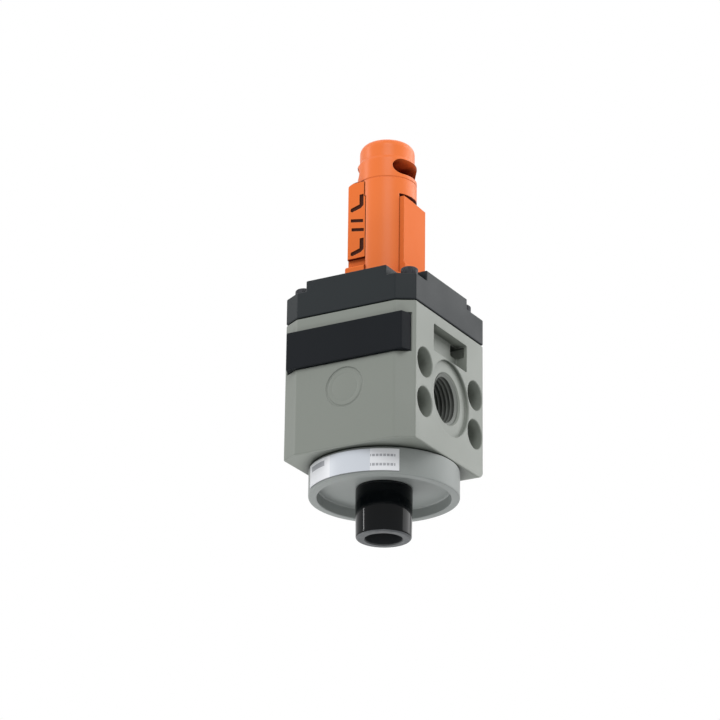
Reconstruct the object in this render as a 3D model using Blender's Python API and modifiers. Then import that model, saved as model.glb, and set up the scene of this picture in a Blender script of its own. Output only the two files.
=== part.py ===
"""Lockable shut-off valve for compressed air, a 3/2 slide valve worked by hand.

Metres, +Z up. The valve axis is the Z axis, z = 0 is the open end of the exhaust fitting, and
the front face looks along -Y. Air comes in at the port on -X and leaves at the port on +X. The
orange knob is pushed down: supply shut, outlet open to the exhaust. Pulled up it opens the valve.
"""

import math

import bmesh
import bpy
from mathutils import Matrix, Vector

# Gaps between neighbouring pieces
FIT = 0.0003
RUN = 0.0001

# Travel of the plunger, from shut (down) to open (up)
TRAVEL = 0.015

# Die-cast body: port faces at each side, a front flat between two sloped shoulders, a plain back
BODY_WIDTH = 0.0600
BODY_FRONT = 0.0330
BODY_BACK = 0.0283
BODY_HEIGHT = 0.0583
SHOULDER_WIDTH = 0.0073
SHOULDER_DEPTH = 0.0042
BODY_EDGE = 0.0005
BACK_FOOT_ROUND = 0.0048
ROUNDEL_DIAMETER = 0.0168
ROUNDEL_DEPTH = 0.0003
ROUNDEL_DROP = 0.0008

# Ports, a G1/2 pipe thread in each side
PORT_HEIGHT = 0.0259
PORT_DIAMETER = 0.02096
PORT_MOUTH_DIAMETER = 0.0222
PORT_DEPTH = 0.0130
PORT_FACING_DIAMETER = 0.0314
PORT_FACING_DEPTH = 0.0015

# Tie screws that clamp the valve to its neighbours, two each side of each port
TIE_SPACING_Y = 0.0422
TIE_SPACING_Z = 0.0167
TIE_HEAD_DIAMETER = 0.0123
TIE_HEAD_DEPTH = 0.0160
TIE_HOLE_DIAMETER = 0.0066

# Clamp pocket above each port, with an undercut in its back upper corner
POCKET_WIDTH = 0.0280
POCKET_RISE = 0.0159
POCKET_HEIGHT = 0.0116
POCKET_DEPTH = 0.0050
POCKET_CORNER_WIDTH = 0.0065
POCKET_CORNER_HEIGHT = 0.0050
POCKET_CORNER_DEPTH = 0.0035
POCKET_CORNER_REACH = 0.0015
POCKET_CORNER_LIP = 0.0014

# Bore, cage and galleries
CAGE_DIAMETER = 0.0260
CAGE_BORE = 0.0220
CAGE_WIDE_BORE = 0.0238
GALLERY_DIAMETER = 0.0310
GALLERY_HEIGHT = 0.0075
GALLERY_PITCH = 0.0125
GALLERY_DOOR_WIDTH = 0.0130
WINDOW_COUNT = 6
WINDOW_WIDTH = 0.0070
WINDOW_MARGIN = 0.0005
CAGE_SEAT_WIDTH = 0.0010

# Spool
LAND_HEIGHT = 0.0035
LAND_LAP = 0.0012
LAND_FLOOR_GAP = 0.0007
SPOOL_NECK_DIAMETER = 0.0090
SEAL_SECTION = 0.0016

# Stem, nut and bush
STEM_DIAMETER = 0.0070
STEM_THREAD_LENGTH = 0.0120
NUT_ACROSS_FLATS = 0.0100
NUT_HEIGHT = 0.0040
BUSH_DIAMETER = 0.0120
BUSH_COLLAR_DIAMETER = 0.0170
BUSH_COLLAR_HEIGHT = 0.0015
STEM_SEAL_DIAMETER = 0.0140
STEM_SEAL_HEIGHT = 0.0024

# Bottom flange, screwed into the body
FLANGE_DIAMETER = 0.0608
FLANGE_RIM = 0.0035
FLANGE_RECESS = 0.0044
FLANGE_WEB = 0.0035
FLANGE_BORE = 0.0310
FLANGE_EDGE = 0.0006
SPIGOT_DIAMETER = 0.0460
SPIGOT_LENGTH = 0.0075
LABEL_THICKNESS = 0.0002
LABEL_ANGLE = 88.0
LABEL_MARGIN = 0.0004
LABEL_FOOT_MARGIN = 0.0008

# Exhaust fitting
FITTING_LENGTH = 0.01695
FITTING_DIAMETER = 0.0231
FITTING_END_DIAMETER = 0.0225
FITTING_BORE = 0.0150
FITTING_THREAD_DIAMETER = 0.0180
FITTING_RIM_RADIUS = 0.0012
SILENCER_DEPTH = 0.0140
SILENCER_THICKNESS = 0.0026
SILENCER_STEP = 0.0005

# Top cap
CAP_SKIRT = 0.0112
CAP_RISE = 0.0044
CAP_CORNER_X = 0.0115
CAP_CORNER_FRONT = 0.0130
CAP_CORNER_BACK = 0.0140
CAP_EDGE = 0.0008
GASKET_DIAMETER = 0.0420
GASKET_WIDTH = 0.0030
GASKET_THICKNESS = 0.0016
CAP_SCREW_SIDE_INSET = 0.0055
CAP_SCREW_FRONT_INSET = 0.0085
CAP_SCREW_BACK_INSET = 0.0078
CAP_SCREW_DIAMETER = 0.0040
CAP_SCREW_LENGTH = 0.0235
CAP_SCREW_HEAD_DIAMETER = 0.0070
CAP_SCREW_HEAD_HEIGHT = 0.0040
CAP_SCREW_HEX = 0.0030
CAP_SCREW_HEX_DEPTH = 0.0020

# Plate let into the front
PLATE_HEIGHT = 0.0160
PLATE_TOP_BAND = 0.0058
PLATE_PROUD = 0.0014
PLATE_FACE_INSET = 0.0034
PLATE_FOOT_INSET = 0.0017
PLATE_SEAT_DEPTH = 0.0010
PLATE_EDGE = 0.0004
PEG_DIAMETER = 0.0040
PEG_LENGTH = 0.0040
PEG_SPACING = 0.0300

# Lock guard
GUARD_SIZE = 0.0240
GUARD_HEIGHT = 0.0425
GUARD_CORNER = 0.0012
GUARD_BASE_SIZE = 0.0253
GUARD_BASE_HEIGHT = 0.0120
GUARD_SILL = 0.0055
GUARD_SIDE_DROP = 0.0011
GUARD_BACK_DROP = 0.0018
POST_RISE = 0.0075
POST_SLOPE_DROP = 0.0020
POST_SLOPE_WIDTH = 0.0040
POST_DEPTH = 0.0065
WINDOW_LEFT = 0.0035
WINDOW_BACK = 0.0070
UNDERCUT_HEIGHT = 0.0035
UNDERCUT_DEPTH = 0.0016
GUARD_SCREW_SPACING = 0.0196
GUARD_SCREW_DIAMETER = 0.0025
GUARD_SCREW_BITE = 0.0043
GUARD_SCREW_HEAD_DIAMETER = 0.0045
GUARD_SCREW_HEAD_HEIGHT = 0.0020
GUARD_SCREW_SINK = 0.0045

# Knob
COLUMN_DIAMETER = 0.0204
KEY_DIAMETER = 0.0247
COLLAR_HEIGHT = 0.0166
HEAD_DIAMETER = 0.0228
HEAD_HEIGHT = 0.0090
HEAD_ROUND = 0.0038
COLLAR_LINE_HEIGHT = 0.0072
COLLAR_LINE_DEPTH = 0.0004
SLOT_WIDTH = 0.0175
SLOT_HEIGHT = 0.0067
SLOT_RISE = 0.0124
SOCKET_DEPTH = 0.0175
PIN_DIAMETER = 0.0026
PIN_LENGTH = 0.0180
PIN_RISE = 0.0095

# Locking tab inside the guard, with the eye that the shackle passes through
TAB_THICKNESS = 0.0030
TAB_EYE_DIAMETER = 0.0070
TAB_EYE_BACK = 0.0020
TAB_WALL = 0.0022
TAB_ROOT_DEPTH = 0.0043
TAB_ROOT_LENGTH = 0.0220
TAB_CORNER = 0.0015

# Facets round a full turn
FINE = 36
MEDIUM = 20
SMALL = 12

# Heights worked out from the foot upward
Z_RIM = FITTING_LENGTH
Z_RECESS = Z_RIM + FLANGE_RECESS
Z_CHAMBER = Z_RECESS + FLANGE_WEB
Z_LOWER_LAND = Z_CHAMBER + LAND_FLOOR_GAP + LAND_HEIGHT / 2
Z_LOWER_LAND_OPEN = Z_LOWER_LAND + TRAVEL
Z_CAGE_FOOT = Z_LOWER_LAND_OPEN - LAND_HEIGHT / 2 - LAND_LAP
Z_OUTLET_GALLERY = Z_LOWER_LAND_OPEN + LAND_HEIGHT / 2 + LAND_LAP - WINDOW_MARGIN + GALLERY_HEIGHT / 2
Z_INLET_GALLERY = Z_OUTLET_GALLERY + GALLERY_PITCH
Z_PORT = (Z_OUTLET_GALLERY + Z_INLET_GALLERY) / 2
Z_BODY_FOOT = Z_PORT - PORT_HEIGHT
Z_BODY_TOP = Z_BODY_FOOT + BODY_HEIGHT
Z_SPIGOT_TOP = Z_BODY_FOOT + SPIGOT_LENGTH
Z_CAP_FOOT = Z_BODY_TOP + FIT
Z_CAP_POCKET = Z_CAP_FOOT + CAP_SKIRT
Z_CAP_TOP = Z_CAP_POCKET + CAP_RISE
Z_GUARD_FOOT = Z_CAP_TOP + FIT
Z_GUARD_TOP = Z_GUARD_FOOT + GUARD_HEIGHT
Z_POST_TOP = Z_GUARD_TOP + POST_RISE
Z_COLLAR = Z_GUARD_TOP + FIT
Z_HEAD = Z_COLLAR + COLLAR_HEIGHT
Z_KNOB_TOP = Z_HEAD + HEAD_HEIGHT
Z_COLUMN_FOOT = Z_GUARD_FOOT + 2 * FIT
Z_KEY_FOOT = Z_GUARD_FOOT + GUARD_SILL + 2 * FIT
Z_SLOT = Z_COLLAR + SLOT_RISE
Z_STEM_TOP = Z_COLUMN_FOOT + SOCKET_DEPTH - FIT
Z_PIN = Z_COLUMN_FOOT + PIN_RISE
Z_UPPER_LAND = Z_PORT
Z_NUT_TOP = Z_CAP_FOOT - TRAVEL - FIT
Z_NUT_FOOT = Z_NUT_TOP - NUT_HEIGHT
Z_SPOOL_TOP = Z_NUT_FOOT - FIT
Z_PLATE = Z_BODY_TOP - PLATE_TOP_BAND - PLATE_HEIGHT / 2

PARTS = "lockable_shut_off_valve"
CUTTERS = "cutters"


def clear_scene():
    """Remove every object of the open file."""
    for obj in list(bpy.data.objects):
        bpy.data.objects.remove(obj, do_unlink=True)


def new_collection(name):
    """A collection linked to the scene."""
    made = bpy.data.collections.new(name)
    bpy.context.scene.collection.children.link(made)
    return made


def linear(value):
    """One colour channel as the eye sees it, 0 to 255, as a linear value."""
    share = value / 255
    if share <= 0.04045:
        return share / 12.92
    return ((share + 0.055) / 1.055) ** 2.4


def finish(name, colour, roughness, metallic=0.0):
    """A Principled material of one colour."""
    made = bpy.data.materials.new(name)
    made.use_nodes = True
    shader = made.node_tree.nodes["Principled BSDF"]
    shader.inputs["Base Color"].default_value = [linear(c) for c in colour] + [1.0]
    shader.inputs["Roughness"].default_value = roughness
    shader.inputs["Metallic"].default_value = metallic
    return made


def add_object(name, mesh, group, material=None):
    """An object for a mesh, in one of the two collections."""
    made = bpy.data.objects.new(name, mesh)
    bpy.data.collections[group].objects.link(made)
    if group == CUTTERS:
        made.hide_render = True
        made.display_type = "WIRE"
    if material:
        mesh.materials.append(material)
    return made


def evaluated_mesh(obj):
    """The object's mesh with its modifiers carried out and its seams merged."""
    bpy.context.view_layer.update()
    seen = obj.evaluated_get(bpy.context.evaluated_depsgraph_get())
    mesh = bpy.data.meshes.new_from_object(seen)
    work = bmesh.new()
    work.from_mesh(mesh)
    bmesh.ops.remove_doubles(work, verts=work.verts, dist=0.000001)
    work.to_mesh(mesh)
    work.free()
    return mesh


def turn_to_axis(axis):
    """Matrix that lays a shape made along Z along the named axis."""
    if axis == "X":
        return Matrix(((0, 0, 1, 0), (1, 0, 0, 0), (0, 1, 0, 0), (0, 0, 0, 1)))
    if axis == "Y":
        return Matrix(((1, 0, 0, 0), (0, 0, -1, 0), (0, 1, 0, 0), (0, 0, 0, 1)))
    return Matrix.Identity(4)


def turned_mesh(profile, segments, closed=False):
    """A profile of (radius, height) points turned about Z, down its outer side first."""
    line = bpy.data.meshes.new("profile")
    edges = [(i, i + 1) for i in range(len(profile) - 1)]
    if closed:
        edges.append((len(profile) - 1, 0))
    line.from_pydata([(radius, 0.0, height) for radius, height in profile], edges, [])
    spun = bpy.data.objects.new("profile", line)
    bpy.context.scene.collection.objects.link(spun)
    screw = spun.modifiers.new("turn", "SCREW")
    screw.axis = "Z"
    screw.angle = math.tau
    screw.steps = segments
    screw.render_steps = segments
    screw.use_merge_vertices = True
    screw.merge_threshold = 0.000001
    screw.use_smooth_shade = True
    mesh = evaluated_mesh(spun)
    bpy.data.objects.remove(spun, do_unlink=True)
    bpy.data.meshes.remove(line)
    mesh.set_sharp_from_angle(angle=math.radians(35))
    return mesh


def turned(name, profile, group, material=None, segments=FINE, closed=False, at=(0, 0, 0), axis="Z"):
    """A turned object, its own axis along Z, X or Y."""
    mesh = turned_mesh(profile, segments, closed)
    mesh.transform(Matrix.Translation(at) @ turn_to_axis(axis))
    return add_object(name, mesh, group, material)


def rod(radius, low, high, chamfer=0.0):
    """Profile of a plain rod, with an optional chamfer at both ends."""
    if not chamfer:
        return [(0, high), (radius, high), (radius, low), (0, low)]
    return [
        (0, high),
        (radius - chamfer, high),
        (radius, high - chamfer),
        (radius, low + chamfer),
        (radius - chamfer, low),
        (0, low),
    ]


def ring(inner, outer, low, high):
    """Closed profile of a square-section ring, as a seal or gasket has."""
    return [(outer, high), (outer, low), (inner, low), (inner, high)]


def extruded(name, outline, low, high, group, material=None, axis="Z"):
    """A flat outline given a thickness from low to high along the named axis."""
    curve = bpy.data.curves.new(name, "CURVE")
    curve.dimensions = "2D"
    curve.fill_mode = "BOTH"
    curve.extrude = (high - low) / 2
    spline = curve.splines.new("POLY")
    spline.points.add(len(outline) - 1)
    for point, (u, v) in zip(spline.points, outline):
        point.co = (u, v, 0.0, 1.0)
    spline.use_cyclic_u = True
    flat = bpy.data.objects.new(name + "_outline", curve)
    bpy.context.scene.collection.objects.link(flat)
    mesh = evaluated_mesh(flat)
    bpy.data.objects.remove(flat, do_unlink=True)
    bpy.data.curves.remove(curve)
    mesh.transform(turn_to_axis(axis) @ Matrix.Translation((0, 0, (low + high) / 2)))
    return add_object(name, mesh, group, material)


def block(name, low, high, group, material=None):
    """A box between two corners."""
    work = bmesh.new()
    bmesh.ops.create_cube(work, size=1.0)
    size = Vector(high) - Vector(low)
    centre = (Vector(high) + Vector(low)) / 2
    bmesh.ops.transform(work, matrix=Matrix.Translation(centre) @ Matrix.Diagonal((*size, 1)), verts=work.verts)
    mesh = bpy.data.meshes.new(name)
    work.to_mesh(mesh)
    work.free()
    return add_object(name, mesh, group, material)


def cut(body, cutter):
    """Take the cutter's shape out of the body."""
    step = body.modifiers.new("cut_" + cutter.name, "BOOLEAN")
    step.operation = "DIFFERENCE"
    step.solver = "EXACT"
    step.object = cutter


def add(body, extra):
    """Make the extra shape one with the body."""
    step = body.modifiers.new("add_" + extra.name, "BOOLEAN")
    step.operation = "UNION"
    step.solver = "EXACT"
    step.object = extra


def soften(body, width, segments=1, limit=30):
    """Break the edges of a body that are sharper than the limit."""
    step = body.modifiers.new("soften", "BEVEL")
    step.width = width
    step.segments = segments
    step.limit_method = "ANGLE"
    step.angle_limit = math.radians(limit)


def mirror(obj, across_x=False, across_y=False):
    """Mirror an object that lies clear of the mirror planes."""
    step = obj.modifiers.new("mirror", "MIRROR")
    step.use_axis = (across_x, across_y, False)
    step.merge_threshold = 0.000001


def body_outline():
    """Plan outline of body and cap: a front flat between two sloped shoulders, a plain back."""
    half_width = BODY_WIDTH / 2
    half_flat = BODY_WIDTH / 2 - SHOULDER_WIDTH
    side = BODY_FRONT - SHOULDER_DEPTH
    return [
        (half_width, BODY_BACK),
        (-half_width, BODY_BACK),
        (-half_width, -side),
        (-half_flat, -BODY_FRONT),
        (half_flat, -BODY_FRONT),
        (half_width, -side),
    ]


def slope_at(x):
    """Depth of the sloped shoulder at a given x, counted from the valve axis to the front."""
    past_flat = x - (BODY_WIDTH / 2 - SHOULDER_WIDTH)
    return BODY_FRONT - past_flat * SHOULDER_DEPTH / SHOULDER_WIDTH


def arc(radius, start, end, count, centre=(0.0, 0.0)):
    """Points on an arc from one angle to another, in degrees, both ends included."""
    points = []
    for i in range(count + 1):
        angle = math.radians(start + (end - start) * i / count)
        points.append((centre[0] + radius * math.cos(angle), centre[1] + radius * math.sin(angle)))
    return points


def obround(width, height, centre, count):
    """A slot outline with round ends, lying along its first axis."""
    offset = (width - height) / 2
    right = arc(height / 2, -90, 90, count, (centre[0] + offset, centre[1]))
    left = arc(height / 2, 90, 270, count, (centre[0] - offset, centre[1]))
    return right + left


def cap_screw_places():
    """Places of the four cap screws, from the back right corner round to the front right one."""
    x = BODY_WIDTH / 2 - CAP_SCREW_SIDE_INSET
    back = BODY_BACK - CAP_SCREW_BACK_INSET
    front = CAP_SCREW_FRONT_INSET - BODY_FRONT
    return [(x, back), (-x, back), (-x, front), (x, front)]


def corner_screws(name, places, profile, material, hex_size=0.0, hex_floor=0.0, hex_top=0.0):
    """Four like screws at the given places, sharing one mesh."""
    master = turned(name + "_1", profile, PARTS, material, SMALL)
    if hex_size:
        outline = arc(hex_size / math.sqrt(3), 0, 300, 5)
        cut(master, extruded(name + "_hexagon", outline, hex_floor, hex_top, CUTTERS))
        mesh = evaluated_mesh(master)
        master.modifiers.clear()
        master.data = mesh
    screws = [master]
    for i in range(1, len(places)):
        screws.append(add_object(f"{name}_{i + 1}", master.data, PARTS))
    for screw, corner in zip(screws, places):
        screw.location = (*corner, 0)
    return screws


def make_body(grey):
    """Body casting with bore, galleries, ports, tie-screw holes, clamp pockets and plate seats."""
    body = extruded("valve_body", body_outline(), Z_BODY_FOOT, Z_BODY_TOP, PARTS, grey)
    soften(body, BODY_EDGE)

    over = 0.001
    bore = CAGE_DIAMETER / 2 + FIT
    gallery = GALLERY_DIAMETER / 2
    lower = Z_OUTLET_GALLERY
    upper = Z_INLET_GALLERY
    half = GALLERY_HEIGHT / 2
    seat = CAGE_DIAMETER / 2 - CAGE_SEAT_WIDTH
    spigot = SPIGOT_DIAMETER / 2 + FIT
    profile = [
        (0, Z_BODY_TOP + over),
        (bore, Z_BODY_TOP + over),
        (bore, upper + half),
        (gallery, upper + half),
        (gallery, upper - half),
        (bore, upper - half),
        (bore, lower + half),
        (gallery, lower + half),
        (gallery, lower - half),
        (bore, lower - half),
        (bore, Z_CAGE_FOOT - FIT),
        (seat, Z_CAGE_FOOT - FIT),
        (seat, Z_SPIGOT_TOP),
        (spigot, Z_SPIGOT_TOP),
        (spigot, Z_BODY_FOOT - over),
        (0, Z_BODY_FOOT - over),
    ]
    cut(body, turned("bore_cutter", profile, CUTTERS, segments=MEDIUM))

    face = BODY_WIDTH / 2
    lip = (PORT_MOUTH_DIAMETER - PORT_DIAMETER) / 2
    facing = face - PORT_FACING_DEPTH
    port_profile = [
        (0, face + over),
        (PORT_FACING_DIAMETER / 2, face + over),
        (PORT_FACING_DIAMETER / 2, facing),
        (PORT_MOUTH_DIAMETER / 2, facing),
        (PORT_DIAMETER / 2, facing - lip),
        (PORT_DIAMETER / 2, face - PORT_DEPTH),
        (0, face - PORT_DEPTH),
    ]
    ports = turned("port_cutter", port_profile, CUTTERS, axis="X", at=(0, 0, Z_PORT))
    mirror(ports, across_x=True)
    cut(body, ports)

    door_end = face - PORT_DEPTH + over
    door_start = gallery - CAGE_SEAT_WIDTH * 2
    door = GALLERY_DOOR_WIDTH / 2
    reach = PORT_DIAMETER / 2 * 0.9
    outlet_low = max(lower - half, Z_PORT - reach)
    inlet_high = min(upper + half, Z_PORT + reach)
    outlet_door = block(
        "outlet_door", (door_start, -door, outlet_low), (door_end, door, lower + half), CUTTERS
    )
    inlet_door = block(
        "inlet_door", (-door_end, -door, upper - half), (-door_start, door, inlet_high), CUTTERS
    )
    cut(body, outlet_door)
    cut(body, inlet_door)

    head = TIE_HEAD_DIAMETER / 2
    shank = TIE_HOLE_DIAMETER / 2
    floor = face - TIE_HEAD_DEPTH
    tie_profile = [
        (0, face + over),
        (head, face + over),
        (head, floor),
        (shank, floor),
        (shank, -floor),
        (head, -floor),
        (head, -face - over),
        (0, -face - over),
    ]
    for side, z in (("lower", Z_PORT - TIE_SPACING_Z / 2), ("upper", Z_PORT + TIE_SPACING_Z / 2)):
        ties = turned(
            "tie_cutter_" + side, tie_profile, CUTTERS, segments=MEDIUM, axis="X", at=(0, TIE_SPACING_Y / 2, z)
        )
        mirror(ties, across_y=True)
        cut(body, ties)

    back = BODY_BACK
    round_foot = [
        (back + over, Z_BODY_FOOT - over),
        (back + over, Z_BODY_FOOT + BACK_FOOT_ROUND),
    ]
    centre = (back - BACK_FOOT_ROUND, Z_BODY_FOOT + BACK_FOOT_ROUND)
    round_foot = round_foot + arc(BACK_FOOT_ROUND, 0, -90, 5, centre)
    round_foot = round_foot + [(back - BACK_FOOT_ROUND, Z_BODY_FOOT - over)]
    cut(body, extruded("back_foot_cutter", round_foot, -face - over, face + over, CUTTERS, axis="X"))

    pocket_foot = Z_PORT + POCKET_RISE
    pocket_top = pocket_foot + POCKET_HEIGHT
    pocket_floor = face - POCKET_DEPTH
    pocket = block(
        "pocket_cutter",
        (pocket_floor, -POCKET_WIDTH / 2, pocket_foot),
        (face + over, POCKET_WIDTH / 2, pocket_top),
        CUTTERS,
    )
    corner_y = POCKET_WIDTH / 2 + POCKET_CORNER_REACH
    corner = block(
        "pocket_corner_cutter",
        (pocket_floor - POCKET_CORNER_DEPTH, corner_y - POCKET_CORNER_WIDTH, pocket_top - POCKET_CORNER_HEIGHT),
        (face - POCKET_CORNER_LIP, corner_y, pocket_top - FIT),
        CUTTERS,
    )
    mirror(pocket, across_x=True)
    mirror(corner, across_x=True)
    cut(body, pocket)
    cut(body, corner)

    screw_floor = Z_CAP_POCKET + FIT - CAP_SCREW_LENGTH - FIT
    screw_hole = rod(CAP_SCREW_DIAMETER / 2 + FIT, screw_floor, Z_BODY_TOP + over)
    for side, place in (("back", cap_screw_places()[0]), ("front", cap_screw_places()[3])):
        holes = turned("screw_hole_" + side, screw_hole, CUTTERS, segments=SMALL, at=(*place, 0))
        mirror(holes, across_x=True)
        cut(body, holes)

    seat_half = PLATE_HEIGHT / 2 + FIT
    seat_cutter = extruded(
        "plate_seat_cutter",
        plate_outline(-FIT, BODY_FRONT + over),
        Z_PLATE - seat_half,
        Z_PLATE + seat_half,
        CUTTERS,
    )
    cut(body, seat_cutter)
    peg_hole = rod(
        PEG_DIAMETER / 2 + FIT,
        BODY_FRONT - PLATE_SEAT_DEPTH - PEG_LENGTH - FIT,
        BODY_FRONT,
    )
    pegs = turned(
        "peg_hole", peg_hole, CUTTERS, segments=SMALL, axis="Y", at=(PEG_SPACING / 2, 0, Z_PLATE)
    )
    mirror(pegs, across_x=True)
    cut(body, pegs)

    roundel = rod(ROUNDEL_DIAMETER / 2, BODY_FRONT - ROUNDEL_DEPTH, BODY_FRONT + over)
    at = (0, 0, Z_PORT - ROUNDEL_DROP)
    cut(body, turned("roundel_cutter", roundel, CUTTERS, segments=MEDIUM, axis="Y", at=at))
    return body


def plate_outline(grow, front):
    """Plan outline of a plate: its back follows the body, its ends return to the shoulders."""
    foot = BODY_WIDTH / 2 - PLATE_FOOT_INSET - grow
    face_half = BODY_WIDTH / 2 - PLATE_FACE_INSET - grow
    flat = BODY_WIDTH / 2 - SHOULDER_WIDTH
    back = BODY_FRONT - PLATE_SEAT_DEPTH + FIT + grow
    foot_depth = slope_at(BODY_WIDTH / 2 - PLATE_FOOT_INSET) - PLATE_SEAT_DEPTH + FIT + grow
    return [
        (-flat, -back),
        (-foot, -foot_depth),
        (-foot, -foot_depth - PLATE_SEAT_DEPTH),
        (-face_half, -front),
        (face_half, -front),
        (foot, -foot_depth - PLATE_SEAT_DEPTH),
        (foot, -foot_depth),
        (flat, -back),
    ]


def make_plate(black):
    """Blank name plate, clipped into the body by two pegs."""
    front = BODY_FRONT + PLATE_PROUD
    plate = extruded(
        "front_plate",
        plate_outline(FIT / 2, front),
        Z_PLATE - PLATE_HEIGHT / 2,
        Z_PLATE + PLATE_HEIGHT / 2,
        PARTS,
        black,
    )
    soften(plate, PLATE_EDGE)
    tip = BODY_FRONT - PLATE_SEAT_DEPTH - PEG_LENGTH
    pegs = turned(
        "front_plate_peg",
        rod(PEG_DIAMETER / 2, tip, BODY_FRONT),
        CUTTERS,
        segments=SMALL,
        axis="Y",
        at=(PEG_SPACING / 2, 0, Z_PLATE),
    )
    mirror(pegs, across_x=True)
    add(plate, pegs)
    return plate


def make_cage(bronze):
    """Ported sleeve that the spool slides in, with three grooves for its seals."""
    outer = CAGE_DIAMETER / 2
    groove = outer - SEAL_SECTION / 2 - FIT
    half = SEAL_SECTION / 2
    wide_from = Z_INLET_GALLERY + GALLERY_HEIGHT / 2 + LAND_LAP * 2
    top = Z_BODY_TOP - FIT
    profile = [(CAGE_WIDE_BORE / 2, top), (outer, top)]
    for z in reversed(cage_seal_heights()):
        profile = profile + [(outer, z + half), (groove, z + half), (groove, z - half), (outer, z - half)]
    profile = profile + [
        (outer, Z_CAGE_FOOT),
        (CAGE_BORE / 2, Z_CAGE_FOOT),
        (CAGE_BORE / 2, wide_from),
        (CAGE_WIDE_BORE / 2, wide_from + (CAGE_WIDE_BORE - CAGE_BORE) / 2),
    ]
    cage = turned("valve_cage", profile, PARTS, bronze, MEDIUM, closed=True)
    window = GALLERY_HEIGHT / 2 - WINDOW_MARGIN
    for level, z in (("outlet", Z_OUTLET_GALLERY), ("inlet", Z_INLET_GALLERY)):
        for i in range(WINDOW_COUNT // 2):
            bar = block(
                f"window_{level}_{i}",
                (-outer * 1.2, -WINDOW_WIDTH / 2, z - window),
                (outer * 1.2, WINDOW_WIDTH / 2, z + window),
                CUTTERS,
            )
            bar.rotation_euler.z = math.tau * i / WINDOW_COUNT
            cut(cage, bar)
    return cage


def cage_seal_heights():
    """Heights of the three seals round the cage: below, between and above the galleries."""
    outside = GALLERY_HEIGHT / 2 + SEAL_SECTION * 1.2
    return [Z_OUTLET_GALLERY - outside, Z_PORT, Z_INLET_GALLERY + outside]


def make_rings(name, inner, outer, thickness, heights, material):
    """Like seals on the valve axis, from the lowest to the highest."""
    made = []
    for i, z in enumerate(heights):
        label = f"{name}_{i + 1}" if len(heights) > 1 else name
        profile = ring(inner, outer, z - thickness / 2, z + thickness / 2)
        made.append(turned(label, profile, PARTS, material, MEDIUM, closed=True))
    return made


def make_spool(metal):
    """Spool with two grooved lands, a neck between them and a boss for the stem."""
    land = CAGE_BORE / 2 - FIT
    groove = land - SEAL_SECTION + FIT
    neck = SPOOL_NECK_DIAMETER / 2
    boss = NUT_ACROSS_FLATS / 2
    half = LAND_HEIGHT / 2
    half_groove = SEAL_SECTION / 2 + RUN
    socket = STEM_DIAMETER / 2 + FIT
    socket_floor = Z_SPOOL_TOP - STEM_THREAD_LENGTH - FIT
    profile = [(0, socket_floor), (socket, socket_floor), (socket, Z_SPOOL_TOP), (boss, Z_SPOOL_TOP)]
    profile = profile + [(boss, Z_UPPER_LAND + half)]
    profile = profile + land_profile(Z_UPPER_LAND, land, groove, half, half_groove)
    profile = profile + [(neck, Z_UPPER_LAND - half), (neck, Z_LOWER_LAND + half)]
    profile = profile + land_profile(Z_LOWER_LAND, land, groove, half, half_groove)
    profile = profile + [(0, Z_LOWER_LAND - half)]
    return turned("spool", profile, PARTS, metal, MEDIUM)


def land_profile(z, land, groove, half, half_groove):
    """Outer side of one land, with the groove for its seal."""
    return [
        (land, z + half),
        (land, z + half_groove),
        (groove, z + half_groove),
        (groove, z - half_groove),
        (land, z - half_groove),
        (land, z - half),
    ]


def make_stem(steel):
    """Straight stem from the spool up into the knob, cross-drilled for the pin."""
    foot = Z_SPOOL_TOP - STEM_THREAD_LENGTH
    radius = STEM_DIAMETER / 2
    stem = turned("stem", rod(radius, foot, Z_STEM_TOP, chamfer=radius / 8), PARTS, steel, MEDIUM)
    hole = rod(PIN_DIAMETER / 2 + FIT, -STEM_DIAMETER, STEM_DIAMETER)
    cut(stem, turned("stem_pin_hole", hole, CUTTERS, segments=SMALL, axis="X", at=(0, 0, Z_PIN)))
    return stem


def make_nut(steel):
    """Hexagon nut that locks the stem to the spool and stops the plunger at the top."""
    corner = NUT_ACROSS_FLATS / math.sqrt(3)
    nut = extruded("stem_nut", arc(corner, 0, 300, 5), Z_NUT_FOOT, Z_NUT_TOP, PARTS, steel)
    hole = rod(STEM_DIAMETER / 2 + FIT, Z_NUT_FOOT - NUT_HEIGHT, Z_NUT_TOP + NUT_HEIGHT)
    cut(nut, turned("nut_hole", hole, CUTTERS, segments=MEDIUM))
    return nut


def make_bush(bronze):
    """Flanged guide bush pressed into the cap from below."""
    inner = STEM_DIAMETER / 2 + FIT
    top = Z_CAP_TOP - STEM_SEAL_HEIGHT - 2 * FIT
    collar_foot = Z_CAP_FOOT
    profile = [
        (BUSH_DIAMETER / 2, top),
        (BUSH_DIAMETER / 2, collar_foot + BUSH_COLLAR_HEIGHT),
        (BUSH_COLLAR_DIAMETER / 2, collar_foot + BUSH_COLLAR_HEIGHT),
        (BUSH_COLLAR_DIAMETER / 2, collar_foot),
        (inner, collar_foot),
        (inner, top),
    ]
    return turned("stem_bush", profile, PARTS, bronze, MEDIUM, closed=True)


def make_stem_seal(rubber):
    """Lip seal in the top of the cap."""
    low = Z_CAP_TOP - STEM_SEAL_HEIGHT - FIT
    profile = ring(STEM_DIAMETER / 2 + RUN * 2, STEM_SEAL_DIAMETER / 2, low, Z_CAP_TOP - FIT)
    return turned("stem_seal", profile, PARTS, rubber, MEDIUM, closed=True)


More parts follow.
